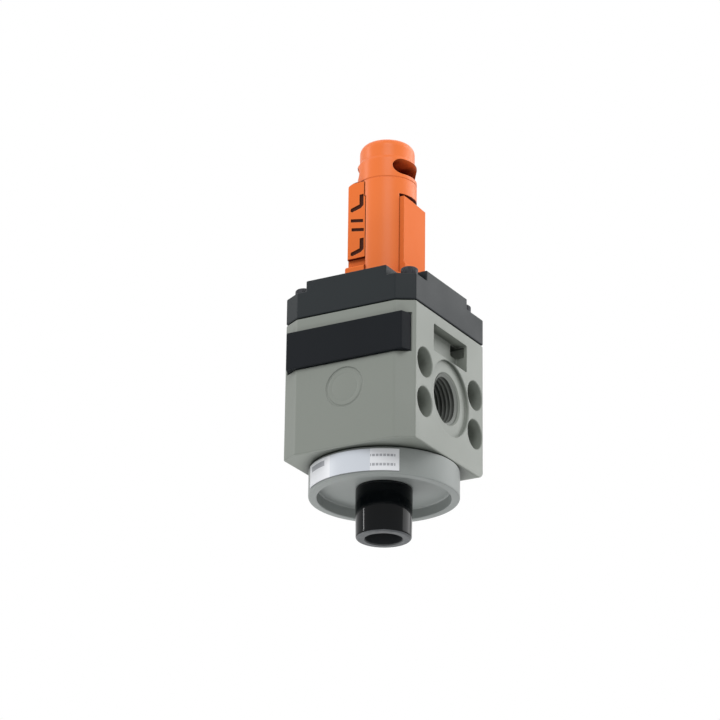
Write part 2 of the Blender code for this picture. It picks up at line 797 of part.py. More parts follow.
def make_flange(grey):
    """Round bottom flange with a threaded spigot, a raised rim below and the exhaust seat."""
    outer = FLANGE_DIAMETER / 2
    spigot = SPIGOT_DIAMETER / 2
    bore = FLANGE_BORE / 2
    rim = outer - FLANGE_RIM
    top = Z_BODY_FOOT - FIT
    groove_z = flange_seal_height()
    groove = spigot - SEAL_SECTION
    half = SEAL_SECTION / 2 + FIT
    hole = FITTING_THREAD_DIAMETER / 2 + FIT
    counter = hole + SEAL_SECTION
    profile = [
        (bore, Z_SPIGOT_TOP - FIT),
        (spigot - FLANGE_EDGE, Z_SPIGOT_TOP - FIT),
        (spigot, Z_SPIGOT_TOP - FIT - FLANGE_EDGE),
        (spigot, groove_z + half),
        (groove, groove_z + half),
        (groove, groove_z - half),
        (spigot, groove_z - half),
        (spigot, top),
        (outer - FLANGE_EDGE, top),
        (outer, top - FLANGE_EDGE),
        (outer, Z_RIM + FLANGE_EDGE),
        (outer - FLANGE_EDGE, Z_RIM),
        (rim, Z_RIM),
        (rim, Z_RECESS),
        (counter, Z_RECESS),
        (counter, Z_RECESS + SEAL_SECTION / 2),
        (hole, Z_RECESS + SEAL_SECTION / 2),
        (hole, Z_CHAMBER),
        (bore, Z_CHAMBER),
    ]
    return turned("bottom_flange", profile, PARTS, grey, closed=True)


def flange_seal_height():
    """Height of the seal round the spigot."""
    return Z_BODY_FOOT + SPIGOT_LENGTH * 0.55


def make_label(paper):
    """Blank label wrapped round the front of the flange."""
    inner = FLANGE_DIAMETER / 2 + LABEL_THICKNESS
    outer = inner + LABEL_THICKNESS
    start = -90 - LABEL_ANGLE / 2
    end = -90 + LABEL_ANGLE / 2
    outline = arc(outer, start, end, 12) + arc(inner, end, start, 12)
    low = Z_RIM + FLANGE_EDGE + LABEL_FOOT_MARGIN
    high = Z_BODY_FOOT - FIT - FLANGE_EDGE - LABEL_MARGIN
    return extruded("flange_label", outline, low, high, PARTS, paper)


def make_fitting(black):
    """Exhaust fitting with a rounded, slightly tapered end and a seat for the silencer disc."""
    outer = FITTING_DIAMETER / 2
    end = FITTING_END_DIAMETER / 2
    thread = FITTING_THREAD_DIAMETER / 2
    bore = FITTING_BORE / 2
    shoulder = Z_RECESS - FIT
    top = Z_CHAMBER - FIT
    rim = FITTING_RIM_RADIUS
    wide = bore + SILENCER_STEP
    profile = [
        (wide, top),
        (thread, top),
        (thread, shoulder),
        (outer - FITTING_RIM_RADIUS / 3, shoulder),
        (outer, shoulder - FITTING_RIM_RADIUS / 3),
        (outer, Z_RIM),
    ]
    profile = profile + [(end - rim + u, rim + v) for u, v in arc(rim, 0, -90, 3)]
    profile = profile + [(bore, 0), (bore, SILENCER_DEPTH), (wide, SILENCER_DEPTH)]
    return turned("exhaust_fitting", profile, PARTS, black, closed=True)


def make_silencer(bronze):
    """Sintered silencer disc that lies on the step inside the exhaust fitting."""
    radius = FITTING_BORE / 2 + SILENCER_STEP - FIT
    low = SILENCER_DEPTH + FIT
    profile = rod(radius, low, low + SILENCER_THICKNESS, chamfer=SILENCER_STEP / 2)
    return turned("silencer_disc", profile, PARTS, bronze, MEDIUM)


def make_cap(black):
    """Top cap: skirt, raised middle with four cleared corners, bores for bush, seal and screws."""
    cap = extruded("top_cap", body_outline(), Z_CAP_FOOT, Z_CAP_TOP, PARTS, black)
    soften(cap, CAP_EDGE, 2)

    over = 0.001
    bush = BUSH_DIAMETER / 2 + FIT
    collar = BUSH_COLLAR_DIAMETER / 2 + FIT
    seal = STEM_SEAL_DIAMETER / 2 + FIT
    seal_floor = Z_CAP_TOP - STEM_SEAL_HEIGHT - 2 * FIT
    profile = [
        (0, Z_CAP_TOP + over),
        (seal, Z_CAP_TOP + over),
        (seal, seal_floor),
        (bush, seal_floor),
        (bush, Z_CAP_FOOT + BUSH_COLLAR_HEIGHT + FIT),
        (collar, Z_CAP_FOOT + BUSH_COLLAR_HEIGHT + FIT),
        (collar, Z_CAP_FOOT - over),
        (0, Z_CAP_FOOT - over),
    ]
    cut(cap, turned("cap_bore_cutter", profile, CUTTERS, segments=MEDIUM))

    outer = GASKET_DIAMETER / 2 + FIT
    groove = [
        (outer, Z_CAP_FOOT + GASKET_THICKNESS + FIT),
        (outer, Z_CAP_FOOT - over),
        (outer - GASKET_WIDTH - 2 * FIT, Z_CAP_FOOT - over),
        (outer - GASKET_WIDTH - 2 * FIT, Z_CAP_FOOT + GASKET_THICKNESS + FIT),
    ]
    cut(cap, turned("gasket_groove_cutter", groove, CUTTERS, segments=MEDIUM, closed=True))

    shank = rod(CAP_SCREW_DIAMETER / 2 + FIT, Z_CAP_FOOT - over, Z_CAP_POCKET + over)
    for side, place in (("back", cap_screw_places()[0]), ("front", cap_screw_places()[3])):
        screws = turned("cap_shank_" + side, shank, CUTTERS, segments=SMALL, at=(*place, 0))
        mirror(screws, across_x=True)
        cut(cap, screws)

    half = GUARD_SCREW_SPACING / 2
    head = GUARD_SCREW_HEAD_DIAMETER / 2 + FIT
    thin = GUARD_SCREW_DIAMETER / 2 + FIT
    sink = Z_CAP_FOOT + GUARD_SCREW_SINK
    guard_hole = [
        (0, Z_CAP_TOP + over),
        (thin, Z_CAP_TOP + over),
        (thin, sink),
        (head, sink),
        (head, Z_CAP_FOOT - over),
        (0, Z_CAP_FOOT - over),
    ]
    holes = turned("guard_screw_passage", guard_hole, CUTTERS, segments=SMALL, at=(half, half, 0))
    mirror(holes, across_x=True, across_y=True)
    cut(cap, holes)

    half_width = BODY_WIDTH / 2
    for side, near, far in (
        ("back", BODY_BACK - CAP_CORNER_BACK, BODY_BACK + over),
        ("front", -BODY_FRONT - over, CAP_CORNER_FRONT - BODY_FRONT),
    ):
        corner = block(
            "cap_corner_" + side,
            (half_width - CAP_CORNER_X, near, Z_CAP_POCKET),
            (half_width + over, far, Z_CAP_TOP + over),
            CUTTERS,
        )
        mirror(corner, across_x=True)
        cut(cap, corner)
    return cap


def make_gasket(rubber):
    """Flat ring gasket let into the underside of the cap."""
    outer = GASKET_DIAMETER / 2
    profile = ring(outer - GASKET_WIDTH, outer, Z_CAP_FOOT, Z_CAP_FOOT + GASKET_THICKNESS)
    return turned("cap_gasket", profile, PARTS, rubber, MEDIUM, closed=True)


def make_cap_screws(steel):
    """Socket cap screws in the four cleared corners of the cap."""
    seat = Z_CAP_POCKET + FIT
    top = seat + CAP_SCREW_HEAD_HEIGHT
    head = CAP_SCREW_HEAD_DIAMETER / 2
    shank = CAP_SCREW_DIAMETER / 2
    edge = CAP_SCREW_HEAD_HEIGHT / 10
    profile = [
        (0, top),
        (head - edge, top),
        (head, top - edge),
        (head, seat),
        (shank, seat),
        (shank, seat - CAP_SCREW_LENGTH),
        (0, seat - CAP_SCREW_LENGTH),
    ]
    floor = top - CAP_SCREW_HEX_DEPTH
    places = cap_screw_places()
    return corner_screws("cap_screw", places, profile, steel, CAP_SCREW_HEX, floor, top + head)


def make_guard_screws(steel):
    """Screws that hold the guard, put in from the underside of the cap."""
    seat = Z_CAP_FOOT + GUARD_SCREW_SINK - FIT
    head = GUARD_SCREW_HEAD_DIAMETER / 2
    shank = GUARD_SCREW_DIAMETER / 2
    profile = [
        (0, Z_GUARD_FOOT + GUARD_SCREW_BITE),
        (shank, Z_GUARD_FOOT + GUARD_SCREW_BITE),
        (shank, seat),
        (head, seat),
        (head, seat - GUARD_SCREW_HEAD_HEIGHT),
        (0, seat - GUARD_SCREW_HEAD_HEIGHT),
    ]
    half = GUARD_SCREW_SPACING / 2
    places = [(half, half), (-half, half), (-half, -half), (half, -half)]
    return corner_screws("guard_screw", places, profile, steel)


def square_outline(size, corner):
    """Square plan outline with cut corners."""
    half = size / 2
    near = half - corner
    return [
        (half, -near),
        (half, near),
        (near, half),
        (-near, half),
        (-half, near),
        (-half, -near),
        (-near, -half),
        (near, -half),
    ]


def make_guard(orange):
    """Lock guard: square tower with a front window, a tall post and the locking tab inside."""
    guard = extruded(
        "lock_guard", square_outline(GUARD_SIZE, GUARD_CORNER), Z_GUARD_FOOT, Z_POST_TOP, PARTS, orange
    )
    over = 0.001
    half = GUARD_SIZE / 2
    far = half + 2 * over
    base = extruded(
        "guard_base",
        square_outline(GUARD_BASE_SIZE, GUARD_CORNER),
        Z_GUARD_FOOT,
        Z_GUARD_FOOT + GUARD_BASE_HEIGHT,
        CUTTERS,
    )
    soften(base, GUARD_CORNER / 3, 1, 60)
    add(guard, base)

    bore = COLUMN_DIAMETER / 2 + FIT
    wide = KEY_DIAMETER / 2 + FIT
    profile = [
        (0, Z_POST_TOP + over),
        (wide, Z_POST_TOP + over),
        (wide, Z_GUARD_TOP),
        (bore, Z_GUARD_TOP),
        (bore, Z_GUARD_FOOT - over),
        (0, Z_GUARD_FOOT - over),
    ]
    cut(guard, turned("guard_bore_cutter", profile, CUTTERS))

    window = block(
        "guard_window_cutter",
        (-WINDOW_LEFT, -far - over, Z_GUARD_FOOT + GUARD_SILL),
        (far + over, -WINDOW_BACK, Z_POST_TOP + over),
        CUTTERS,
    )
    cut(guard, window)

    back_top = Z_GUARD_TOP - GUARD_BACK_DROP
    side_top = Z_GUARD_TOP - GUARD_SIDE_DROP
    right_top = [
        (-far, side_top),
        (0, side_top),
        (far, back_top),
        (far, Z_POST_TOP + 2 * over),
        (-far, Z_POST_TOP + 2 * over),
    ]
    cut(guard, extruded("guard_top_right", right_top, -WINDOW_LEFT, far, CUTTERS, axis="X"))
    post_back = -half + POST_DEPTH
    left_top = [
        (post_back, Z_GUARD_TOP),
        (0, Z_GUARD_TOP),
        (far, back_top),
        (far, Z_POST_TOP + 2 * over),
        (post_back, Z_POST_TOP + 2 * over),
    ]
    cut(guard, extruded("guard_top_left", left_top, -far, -WINDOW_LEFT / 2, CUTTERS, axis="X"))
    slope = [
        (-half - over, Z_POST_TOP - POST_SLOPE_DROP * (1 + over / POST_SLOPE_WIDTH)),
        (-half + POST_SLOPE_WIDTH, Z_POST_TOP),
        (-half + POST_SLOPE_WIDTH, Z_POST_TOP + over),
        (-half - over, Z_POST_TOP + over),
    ]
    cut(guard, extruded("post_slope", slope, -far, far, CUTTERS, axis="Y"))

    undercut_foot = Z_GUARD_FOOT + GUARD_BASE_HEIGHT
    undercut = block(
        "guard_undercut",
        (-far, -far, undercut_foot),
        (-WINDOW_LEFT / 2, -half + UNDERCUT_DEPTH, undercut_foot + UNDERCUT_HEIGHT),
        CUTTERS,
    )
    cut(guard, undercut)

    spacing = GUARD_SCREW_SPACING / 2
    hole = rod(
        GUARD_SCREW_DIAMETER / 2 + FIT, Z_GUARD_FOOT - over, Z_GUARD_FOOT + GUARD_SCREW_BITE + FIT
    )
    holes = turned("guard_screw_hole", hole, CUTTERS, segments=SMALL, at=(spacing, spacing, 0))
    mirror(holes, across_x=True, across_y=True)
    cut(guard, holes)

    add(guard, make_tab(bore))
    eye = rod(TAB_EYE_DIAMETER / 2, -TAB_THICKNESS, TAB_THICKNESS)
    cut(
        guard,
        turned("tab_eye", eye, CUTTERS, segments=MEDIUM, axis="X", at=(0, TAB_EYE_BACK, Z_SLOT)),
    )
    return guard


def tab_limits():
    """Front, top and underside of the locking tab's plate."""
    reach = TAB_EYE_DIAMETER / 2 + TAB_WALL
    return TAB_EYE_BACK - reach, Z_SLOT + reach, Z_SLOT - reach


def make_tab(bore):
    """Outline of the locking tab: a root in the back wall and a plate round the eye."""
    front, top, under = tab_limits()
    back = bore - FIT
    wall = (bore + GUARD_SIZE / 2) / 2
    root_front = bore - TAB_ROOT_DEPTH
    neck = Z_GUARD_TOP - GUARD_BACK_DROP - FIT
    outline = [
        (root_front, neck - TAB_ROOT_LENGTH),
        (wall, neck - TAB_ROOT_LENGTH),
        (wall, neck - TAB_CORNER),
        (back, neck),
        (back, top - TAB_CORNER),
        (back - TAB_CORNER, top),
        (front + TAB_CORNER, top),
        (front, top - TAB_CORNER),
        (front, under + TAB_CORNER),
        (front + TAB_CORNER, under),
        (root_front, under),
    ]
    return extruded("locking_tab", outline, -TAB_THICKNESS / 2, TAB_THICKNESS / 2, CUTTERS, axis="X")


def relief_outline():
    """Plan outline of what is turned away round the column, leaving the key at the front."""
    radius = COLUMN_DIAMETER / 2
    outside = KEY_DIAMETER / 2 * 1.2
    left = WINDOW_LEFT - FIT
    back = WINDOW_BACK + FIT
    limits = []
    for r in (outside, radius):
        start = math.degrees(math.atan2(-back, math.sqrt(r ** 2 - back ** 2)))
        end = math.degrees(math.atan2(-math.sqrt(r ** 2 - left ** 2), -left)) + 360
        limits.append((start, end))
    return arc(outside, *limits[0], MEDIUM) + arc(radius, limits[1][1], limits[1][0], MEDIUM + 4)


def make_knob(orange):
    """Lock knob: keyed column, collar and domed head in one, with the padlock slot through it."""
    key = KEY_DIAMETER / 2
    radius = COLUMN_DIAMETER / 2
    head = HEAD_DIAMETER / 2
    step = (key - head) / 2
    line = Z_COLLAR + COLLAR_LINE_HEIGHT
    mark = COLLAR_LINE_DEPTH
    dome = [(head - HEAD_ROUND + u, Z_KNOB_TOP - HEAD_ROUND + v) for u, v in arc(HEAD_ROUND, 90, 0, 5)]
    profile = [(0, Z_KNOB_TOP)] + dome + [
        (head, Z_HEAD + step),
        (key, Z_HEAD - step),
        (key, line + mark),
        (key - mark, line),
        (key, line - mark),
        (key, Z_KEY_FOOT),
        (radius - FIT, Z_KEY_FOOT),
        (radius - FIT, Z_COLUMN_FOOT),
        (0, Z_COLUMN_FOOT),
    ]
    knob = turned("lock_knob", profile, PARTS, orange)
    over = 0.001
    relief = extruded("column_relief", relief_outline(), Z_KEY_FOOT - over, Z_COLLAR, CUTTERS)
    cut(knob, relief)

    slot = obround(SLOT_WIDTH, SLOT_HEIGHT, (0.0, Z_SLOT), 8)
    cut(knob, extruded("padlock_slot", slot, -key - over, key + over, CUTTERS, axis="X"))

    front, top, under = tab_limits()
    root_front = radius + FIT - TAB_ROOT_DEPTH
    half = TAB_THICKNESS / 2 + FIT
    channel = [
        (root_front - FIT, Z_COLUMN_FOOT - over),
        (key + over, Z_COLUMN_FOOT - over),
        (key + over, top + FIT),
        (front - FIT, top + FIT),
        (front - FIT, under - TRAVEL - FIT),
        (root_front - FIT, under - TRAVEL - FIT),
    ]
    cut(knob, extruded("tab_channel", channel, -half, half, CUTTERS, axis="X"))

    socket = rod(STEM_DIAMETER / 2 + FIT, Z_COLUMN_FOOT - over, Z_STEM_TOP + FIT)
    cut(knob, turned("stem_socket", socket, CUTTERS, segments=MEDIUM))
    pin = rod(PIN_DIAMETER / 2 + FIT, -key - over, key + over)
    cut(knob, turned("knob_pin_hole", pin, CUTTERS, segments=SMALL, axis="X", at=(0, 0, Z_PIN)))
    return knob


def make_pin(steel):
    """Cross pin through knob and stem."""
    half = PIN_LENGTH / 2
    profile = rod(PIN_DIAMETER / 2, -half, half, chamfer=PIN_DIAMETER / 10)
    return turned("knob_pin", profile, PARTS, steel, SMALL, axis="X", at=(0, 0, Z_PIN))


def make_seals(rubber):
    """Seals of cage, spool, flange and fitting."""
    cage_outer = CAGE_DIAMETER / 2 + FIT - RUN
    make_rings(
        "cage_seal",
        cage_outer - SEAL_SECTION / 2,
        cage_outer,
        SEAL_SECTION - FIT,
        cage_seal_heights(),
        rubber,
    )
    spool_outer = CAGE_BORE / 2 - RUN
    seals = make_rings(
        "spool_seal",
        spool_outer - SEAL_SECTION + FIT,
        spool_outer,
        SEAL_SECTION - FIT / 2,
        [Z_LOWER_LAND, Z_UPPER_LAND],
        rubber,
    )
    flange_outer = SPIGOT_DIAMETER / 2 + FIT - RUN
    make_rings(
        "flange_seal",
        flange_outer - SEAL_SECTION + FIT,
        flange_outer,
        SEAL_SECTION,
        [flange_seal_height()],
        rubber,
    )
    inner = FITTING_THREAD_DIAMETER / 2 + FIT
    make_rings(
        "fitting_seal",
        inner,
        inner + SEAL_SECTION - FIT,
        SEAL_SECTION / 2,
        [Z_RECESS + SEAL_SECTION / 4 - RUN],
        rubber,
    )
    return seals


def main():
    """Build the valve and hang the plunger's pieces on its slide axis."""
    clear_scene()
    new_collection(PARTS)
    new_collection(CUTTERS)

    grey = finish("painted_casting", (150, 155, 149), 0.55)
    cap_black = finish("anthracite_plastic", (62, 67, 72), 0.6)
    plate_black = finish("black_plate", (36, 40, 46), 0.5)
    orange = finish("orange_plastic", (240, 120, 66), 0.4)
    gloss_black = finish("gloss_black_plastic", (24, 26, 29), 0.2)
    flange_grey = finish("painted_flange", (158, 161, 158), 0.5)
    paper = finish("label_film", (222, 225, 232), 0.35)
    rubber = finish("seal_rubber", (28, 28, 28), 0.7)
    steel = finish("plain_steel", (170, 172, 175), 0.3, 1.0)
    dark_steel = finish("blackened_steel", (45, 46, 48), 0.45, 1.0)
    bronze = finish("sintered_bronze", (168, 132, 84), 0.6, 1.0)
    brass = finish("machined_brass", (196, 168, 98), 0.3, 1.0)

    make_body(grey)
    make_cap(cap_black)
    make_gasket(rubber)
    make_cap_screws(dark_steel)
    make_plate(plate_black)
    make_guard(orange)
    make_guard_screws(steel)
    make_bush(bronze)
    make_stem_seal(rubber)
    make_cage(brass)
    make_flange(flange_grey)
    make_label(paper)
    make_fitting(gloss_black)
    make_silencer(bronze)

    spool_seals = make_seals(rubber)
    plunger = [
        make_knob(orange),
        make_pin(steel),
        make_stem(steel),
        make_nut(steel),
        make_spool(brass),
    ] + spool_seals
    slide = bpy.data.objects.new("plunger_slide", None)
    bpy.data.collections[PARTS].objects.link(slide)
    for piece in plunger:
        piece.parent = slide


main()
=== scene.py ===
"""Lockable shut-off valve, dressed for its photograph: camera and studio first, then the pieces
in the order in which the valve is put together. Metres, +Z up, the front looks along -Y."""

import math

import bpy
from mathutils import Matrix, Vector


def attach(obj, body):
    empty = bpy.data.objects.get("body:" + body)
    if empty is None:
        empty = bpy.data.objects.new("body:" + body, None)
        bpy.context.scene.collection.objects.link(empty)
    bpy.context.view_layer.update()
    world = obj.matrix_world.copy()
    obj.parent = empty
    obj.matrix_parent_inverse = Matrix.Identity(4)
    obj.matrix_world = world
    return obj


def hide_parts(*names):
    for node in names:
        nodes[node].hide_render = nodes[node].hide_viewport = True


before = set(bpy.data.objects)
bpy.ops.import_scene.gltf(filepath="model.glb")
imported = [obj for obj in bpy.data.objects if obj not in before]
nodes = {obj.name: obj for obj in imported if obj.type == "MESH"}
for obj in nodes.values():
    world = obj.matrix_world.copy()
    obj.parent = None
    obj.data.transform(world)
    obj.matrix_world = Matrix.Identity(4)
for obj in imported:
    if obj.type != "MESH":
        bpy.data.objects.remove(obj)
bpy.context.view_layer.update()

# Camera. The photograph looks up at the valve from the right of its front through a long lens,
# and the valve stands a little right of the picture's middle and above it.
AIM = Vector((0.0, 0.0, 0.08535))
CAMERA_DISTANCE = 1.400
CAMERA_TURN = math.radians(29.47)
CAMERA_BELOW = math.radians(21.82)
CAMERA_ROLL = math.radians(-0.56)
FOCAL_PIXELS = 3437.0
PICTURE_PIXELS = 720.0
SENSOR_WIDTH = 36.0
AIM_RIGHT_OF_MIDDLE = 25.6
AIM_ABOVE_MIDDLE = 19.4

across = Vector((math.cos(CAMERA_TURN), math.sin(CAMERA_TURN), 0.0))
back = Vector((
    math.sin(CAMERA_TURN) * math.cos(CAMERA_BELOW),
    -math.cos(CAMERA_TURN) * math.cos(CAMERA_BELOW),
    -math.sin(CAMERA_BELOW),
))
upward = back.cross(across)
rolled_across = across * math.cos(CAMERA_ROLL) - upward * math.sin(CAMERA_ROLL)
rolled_up = across * math.sin(CAMERA_ROLL) + upward * math.cos(CAMERA_ROLL)
camera_place = AIM + back * CAMERA_DISTANCE
pixel = CAMERA_DISTANCE / FOCAL_PIXELS
middle = AIM - rolled_across * AIM_RIGHT_OF_MIDDLE * pixel - rolled_up * AIM_ABOVE_MIDDLE * pixel
behind = (camera_place - middle).normalized()
side = rolled_up.cross(behind).normalized()
top = behind.cross(side)
camera_data = bpy.data.cameras.new("photo_camera")
camera_data.lens = FOCAL_PIXELS * SENSOR_WIDTH / PICTURE_PIXELS
camera_data.sensor_width = SENSOR_WIDTH
camera_data.clip_start = 0.01
camera_data.clip_end = 20.0
camera = bpy.data.objects.new("photo_camera", camera_data)
bpy.context.scene.collection.objects.link(camera)
camera.matrix_world = Matrix((
    (side.x, top.x, behind.x, camera_place.x),
    (side.y, top.y, behind.y, camera_place.y),
    (side.z, top.z, behind.z, camera_place.z),
    (0.0, 0.0, 0.0, 1.0),
))
bpy.context.scene.camera = camera
bpy.context.scene.view_settings.view_transform = "Standard"

# Studio. A pale floor that the valve stands on, clear from below and to every ray but the camera's,
# so that the low camera and the low lamps reach past it, a white surround, soft lamps at front,
# right and low down, and a narrow strip at the left.
FLOOR_SIZE = 6.0
FLOOR_DROP = 0.0002
FLOOR_COLOUR = 0.78
SURROUND_LEVEL = 0.48


def alone(piece=None):
    """Object mode, with nothing selected but the given piece."""
    if bpy.context.object is not None and bpy.context.object.mode != "OBJECT":
        bpy.ops.object.mode_set(mode="OBJECT")
    bpy.ops.object.select_all(action="DESELECT")
    if piece is not None:
        piece.select_set(True)
        bpy.context.view_layer.objects.active = piece


alone()
bpy.ops.mesh.primitive_plane_add(size=FLOOR_SIZE, location=(0, 0, -FLOOR_DROP))
floor = bpy.context.object
floor.name = "studio_floor"
bpy.ops.object.transform_apply(location=True, rotation=True, scale=True)
floor_paper = bpy.data.materials.new("pale_floor")
floor_paper.use_nodes = True
tree = floor_paper.node_tree
tree.nodes.clear()
paper = tree.nodes.new("ShaderNodeBsdfDiffuse")
paper.inputs["Color"].default_value = (FLOOR_COLOUR, FLOOR_COLOUR, FLOOR_COLOUR, 1)
clear = tree.nodes.new("ShaderNodeBsdfTransparent")
faces_down = tree.nodes.new("ShaderNodeNewGeometry")
ray = tree.nodes.new("ShaderNodeLightPath")
unseen = tree.nodes.new("ShaderNodeMath")
unseen.operation = "SUBTRACT"
unseen.inputs[0].default_value = 1.0
either = tree.nodes.new("ShaderNodeMath")
either.operation = "MAXIMUM"
mix = tree.nodes.new("ShaderNodeMixShader")
out = tree.nodes.new("ShaderNodeOutputMaterial")
tree.links.new(faces_down.outputs["Backfacing"], either.inputs[0])
tree.links.new(ray.outputs["Is Camera Ray"], unseen.inputs[1])
tree.links.new(unseen.outputs[0], either.inputs[1])
tree.links.new(either.outputs[0], mix.inputs["Fac"])
tree.links.new(paper.outputs[0], mix.inputs[1])
tree.links.new(clear.outputs[0], mix.inputs[2])
tree.links.new(mix.outputs[0], out.inputs["Surface"])
floor.data.materials.append(floor_paper)

world = bpy.data.worlds.new("white_surround")
bpy.context.scene.world = world
world.use_nodes = True
tree = world.node_tree
tree.nodes.clear()
ray = tree.nodes.new("ShaderNodeLightPath")
mirrored = tree.nodes.new("ShaderNodeMath")
mirrored.operation = "MAXIMUM"
shown = tree.nodes.new("ShaderNodeMath")
shown.operation = "MAXIMUM"
level = tree.nodes.new("ShaderNodeMapRange")
level.inputs["To Min"].default_value = SURROUND_LEVEL
level.inputs["To Max"].default_value = 1.0
light = tree.nodes.new("ShaderNodeBackground")
light.inputs["Color"].default_value = (1, 1, 1, 1)
out = tree.nodes.new("ShaderNodeOutputWorld")
tree.links.new(ray.outputs["Is Glossy Ray"], mirrored.inputs[0])
tree.links.new(ray.outputs["Is Transmission Ray"], mirrored.inputs[1])
tree.links.new(mirrored.outputs[0], shown.inputs[0])
tree.links.new(ray.outputs["Is Camera Ray"], shown.inputs[1])
tree.links.new(shown.outputs[0], level.inputs["Value"])
tree.links.new(level.outputs[0], light.inputs["Strength"])
tree.links.new(light.outputs[0], out.inputs["Surface"])


def lamp(name, turn, rise, distance, size, power):
    """A soft square or oblong lamp, aimed at the valve from a turn and a rise in degrees."""
    turn = math.radians(turn)
    rise = math.radians(rise)
    away = Vector((math.cos(turn) * math.cos(rise), math.sin(turn) * math.cos(rise), math.sin(rise)))
    data = bpy.data.lights.new(name, "AREA")
    data.shape = "RECTANGLE"
    data.size, data.size_y = size
    data.energy = power
    made = bpy.data.objects.new(name, data)
    bpy.context.scene.collection.objects.link(made)
    made.location = AIM + away * distance
    made.rotation_euler = away.to_track_quat("Z", "Y").to_euler()


lamp("front_lamp", turn=-58, rise=38, distance=1.5, size=(0.7, 0.7), power=7.5)
lamp("right_lamp", turn=46, rise=26, distance=1.5, size=(1.3, 1.3), power=12)
lamp("strip_lamp", turn=-150, rise=24, distance=1.4, size=(0.07, 0.9), power=4.4)
lamp("low_lamp", turn=172, rise=-50, distance=1.6, size=(1.0, 1.0), power=8)
lamp("foot_lamp", turn=-64, rise=-56, distance=1.4, size=(0.3, 0.3), power=2.6)

# Body casting. One grey-painted aluminium die casting: a front flat between sloped shoulders, a
# plain back with a rounded foot, machined ports, tie-screw holes and a clamp pocket in each side.
BODY_WIDTH = 0.0600
BODY_FRONT = 0.0330
BODY_BACK = 0.0283
BODY_FOOT = 0.02885
BODY_TOP = 0.08715
SHOULDER_WIDTH = 0.0073
SHOULDER_DEPTH = 0.0042
BODY_EDGE = 0.0007
BACK_FOOT_ROUND = 0.0048
PORT_HEIGHT = 0.05475
SCREW_PLACES = [(0.0245, 0.0205), (-0.0245, 0.0205), (-0.0245, -0.0245), (0.0245, -0.0245)]
SCREW_HOLE_RADIUS = 0.0023
OVERSHOOT = 0.001
MERGE_DISTANCE = 0.000001


def linear(value):
    """One colour channel as the eye sees it, 0 to 255, as a linear value."""
    share = value / 255
    if share <= 0.04045:
        return share / 12.92
    return ((share + 0.055) / 1.055) ** 2.4


def tint(colour):
    """A colour of three channels from 0 to 255 as a linear colour with alpha."""
    return [linear(channel) for channel in colour] + [1.0]


def block(name, low, high):
    """A block from its lowest to its highest corner, its place in its mesh."""
    alone()
    size = [b - a for a, b in zip(low, high)]
    centre = [(a + b) / 2 for a, b in zip(low, high)]
    bpy.ops.mesh.primitive_cube_add(size=1, location=centre, scale=size)
    made = bpy.context.object
    made.name = name
    bpy.ops.object.transform_apply(location=True, rotation=True, scale=True)
    return made


def draw_line(name, points):
    """A mesh line drawn point by point, left in edit mode with its last point selected."""
    alone()
    bpy.ops.mesh.primitive_plane_add(size=0.001, location=(0, 0, 0))
    made = bpy.context.object
    made.name = name
    bpy.ops.object.mode_set(mode="EDIT")
    bpy.ops.mesh.select_mode(type="VERT")
    bpy.ops.mesh.select_all(action="SELECT")
    bpy.ops.mesh.merge(type="CENTER")
    bpy.ops.transform.translate(value=points[0])
    for here, there in zip(points, points[1:]):
        bpy.ops.mesh.extrude_region_move(TRANSFORM_OT_translate={"value": there - here})
    return made


def close_up(made):
    """Merge seams and poles, turn the faces outwards and leave edit mode."""
    bpy.ops.mesh.select_all(action="SELECT")
    bpy.ops.mesh.remove_doubles(threshold=MERGE_DISTANCE)
    bpy.ops.mesh.normals_make_consistent(inside=False)
    bpy.ops.object.mode_set(mode="OBJECT")
    return made


def turned(name, profile, steps, axis="Z", centre=(0.0, 0.0, 0.0), closed=False):
    """A profile of (radius, place along the axis) points, spun once round that axis."""
    lay = {
        "Z": lambda radius, along: Vector((radius, 0.0, along)),
        "X": lambda radius, along: Vector((along, 0.0, radius)),
        "Y": lambda radius, along: Vector((radius, along, 0.0)),
    }[axis]
    points = [Vector(centre) + lay(radius, along) for radius, along in profile]
    if closed:
        points.append(points[0])
    made = draw_line(name, points)
    bpy.ops.mesh.select_all(action="SELECT")
    spin_axis = {"Z": (0, 0, 1), "X": (1, 0, 0), "Y": (0, 1, 0)}[axis]
    bpy.ops.mesh.spin(steps=steps, angle=math.tau, center=centre, axis=spin_axis)
    return close_up(made)


def slab(name, outline, low, high, axis="Z"):
    """A flat outline drawn across an axis and pushed out from low to high along it."""
    lay = {
        "Z": lambda u, v, along: Vector((u, v, along)),
        "X": lambda u, v, along: Vector((along, u, v)),
        "Y": lambda u, v, along: Vector((u, along, v)),
    }[axis]
    points = [lay(u, v, low) for u, v in outline]
    made = draw_line(name, points)
    bpy.ops.mesh.select_all(action="SELECT")
    bpy.ops.mesh.edge_face_add()
    bpy.ops.mesh.extrude_region_move(TRANSFORM_OT_translate={"value": lay(0.0, 0.0, high - low)})
    return close_up(made)


def slice_off(piece, point, normal):
    """Cut away what lies beyond a plane and close the cut."""
    alone(piece)
    bpy.ops.object.mode_set(mode="EDIT")
    bpy.ops.mesh.select_all(action="SELECT")
    bpy.ops.mesh.bisect(plane_co=point, plane_no=normal, use_fill=True, clear_outer=True)
    return close_up(piece)


def round_edges(piece, width, segments=3, limit=35):
    """Round the edges of a piece that are sharper than the limit."""
    alone(piece)
    step = piece.modifiers.new("round_edges", "BEVEL")
    step.width = width
    step.segments = segments
    step.limit_method = "ANGLE"
    step.angle_limit = math.radians(limit)
    bpy.ops.object.modifier_apply(modifier=step.name)


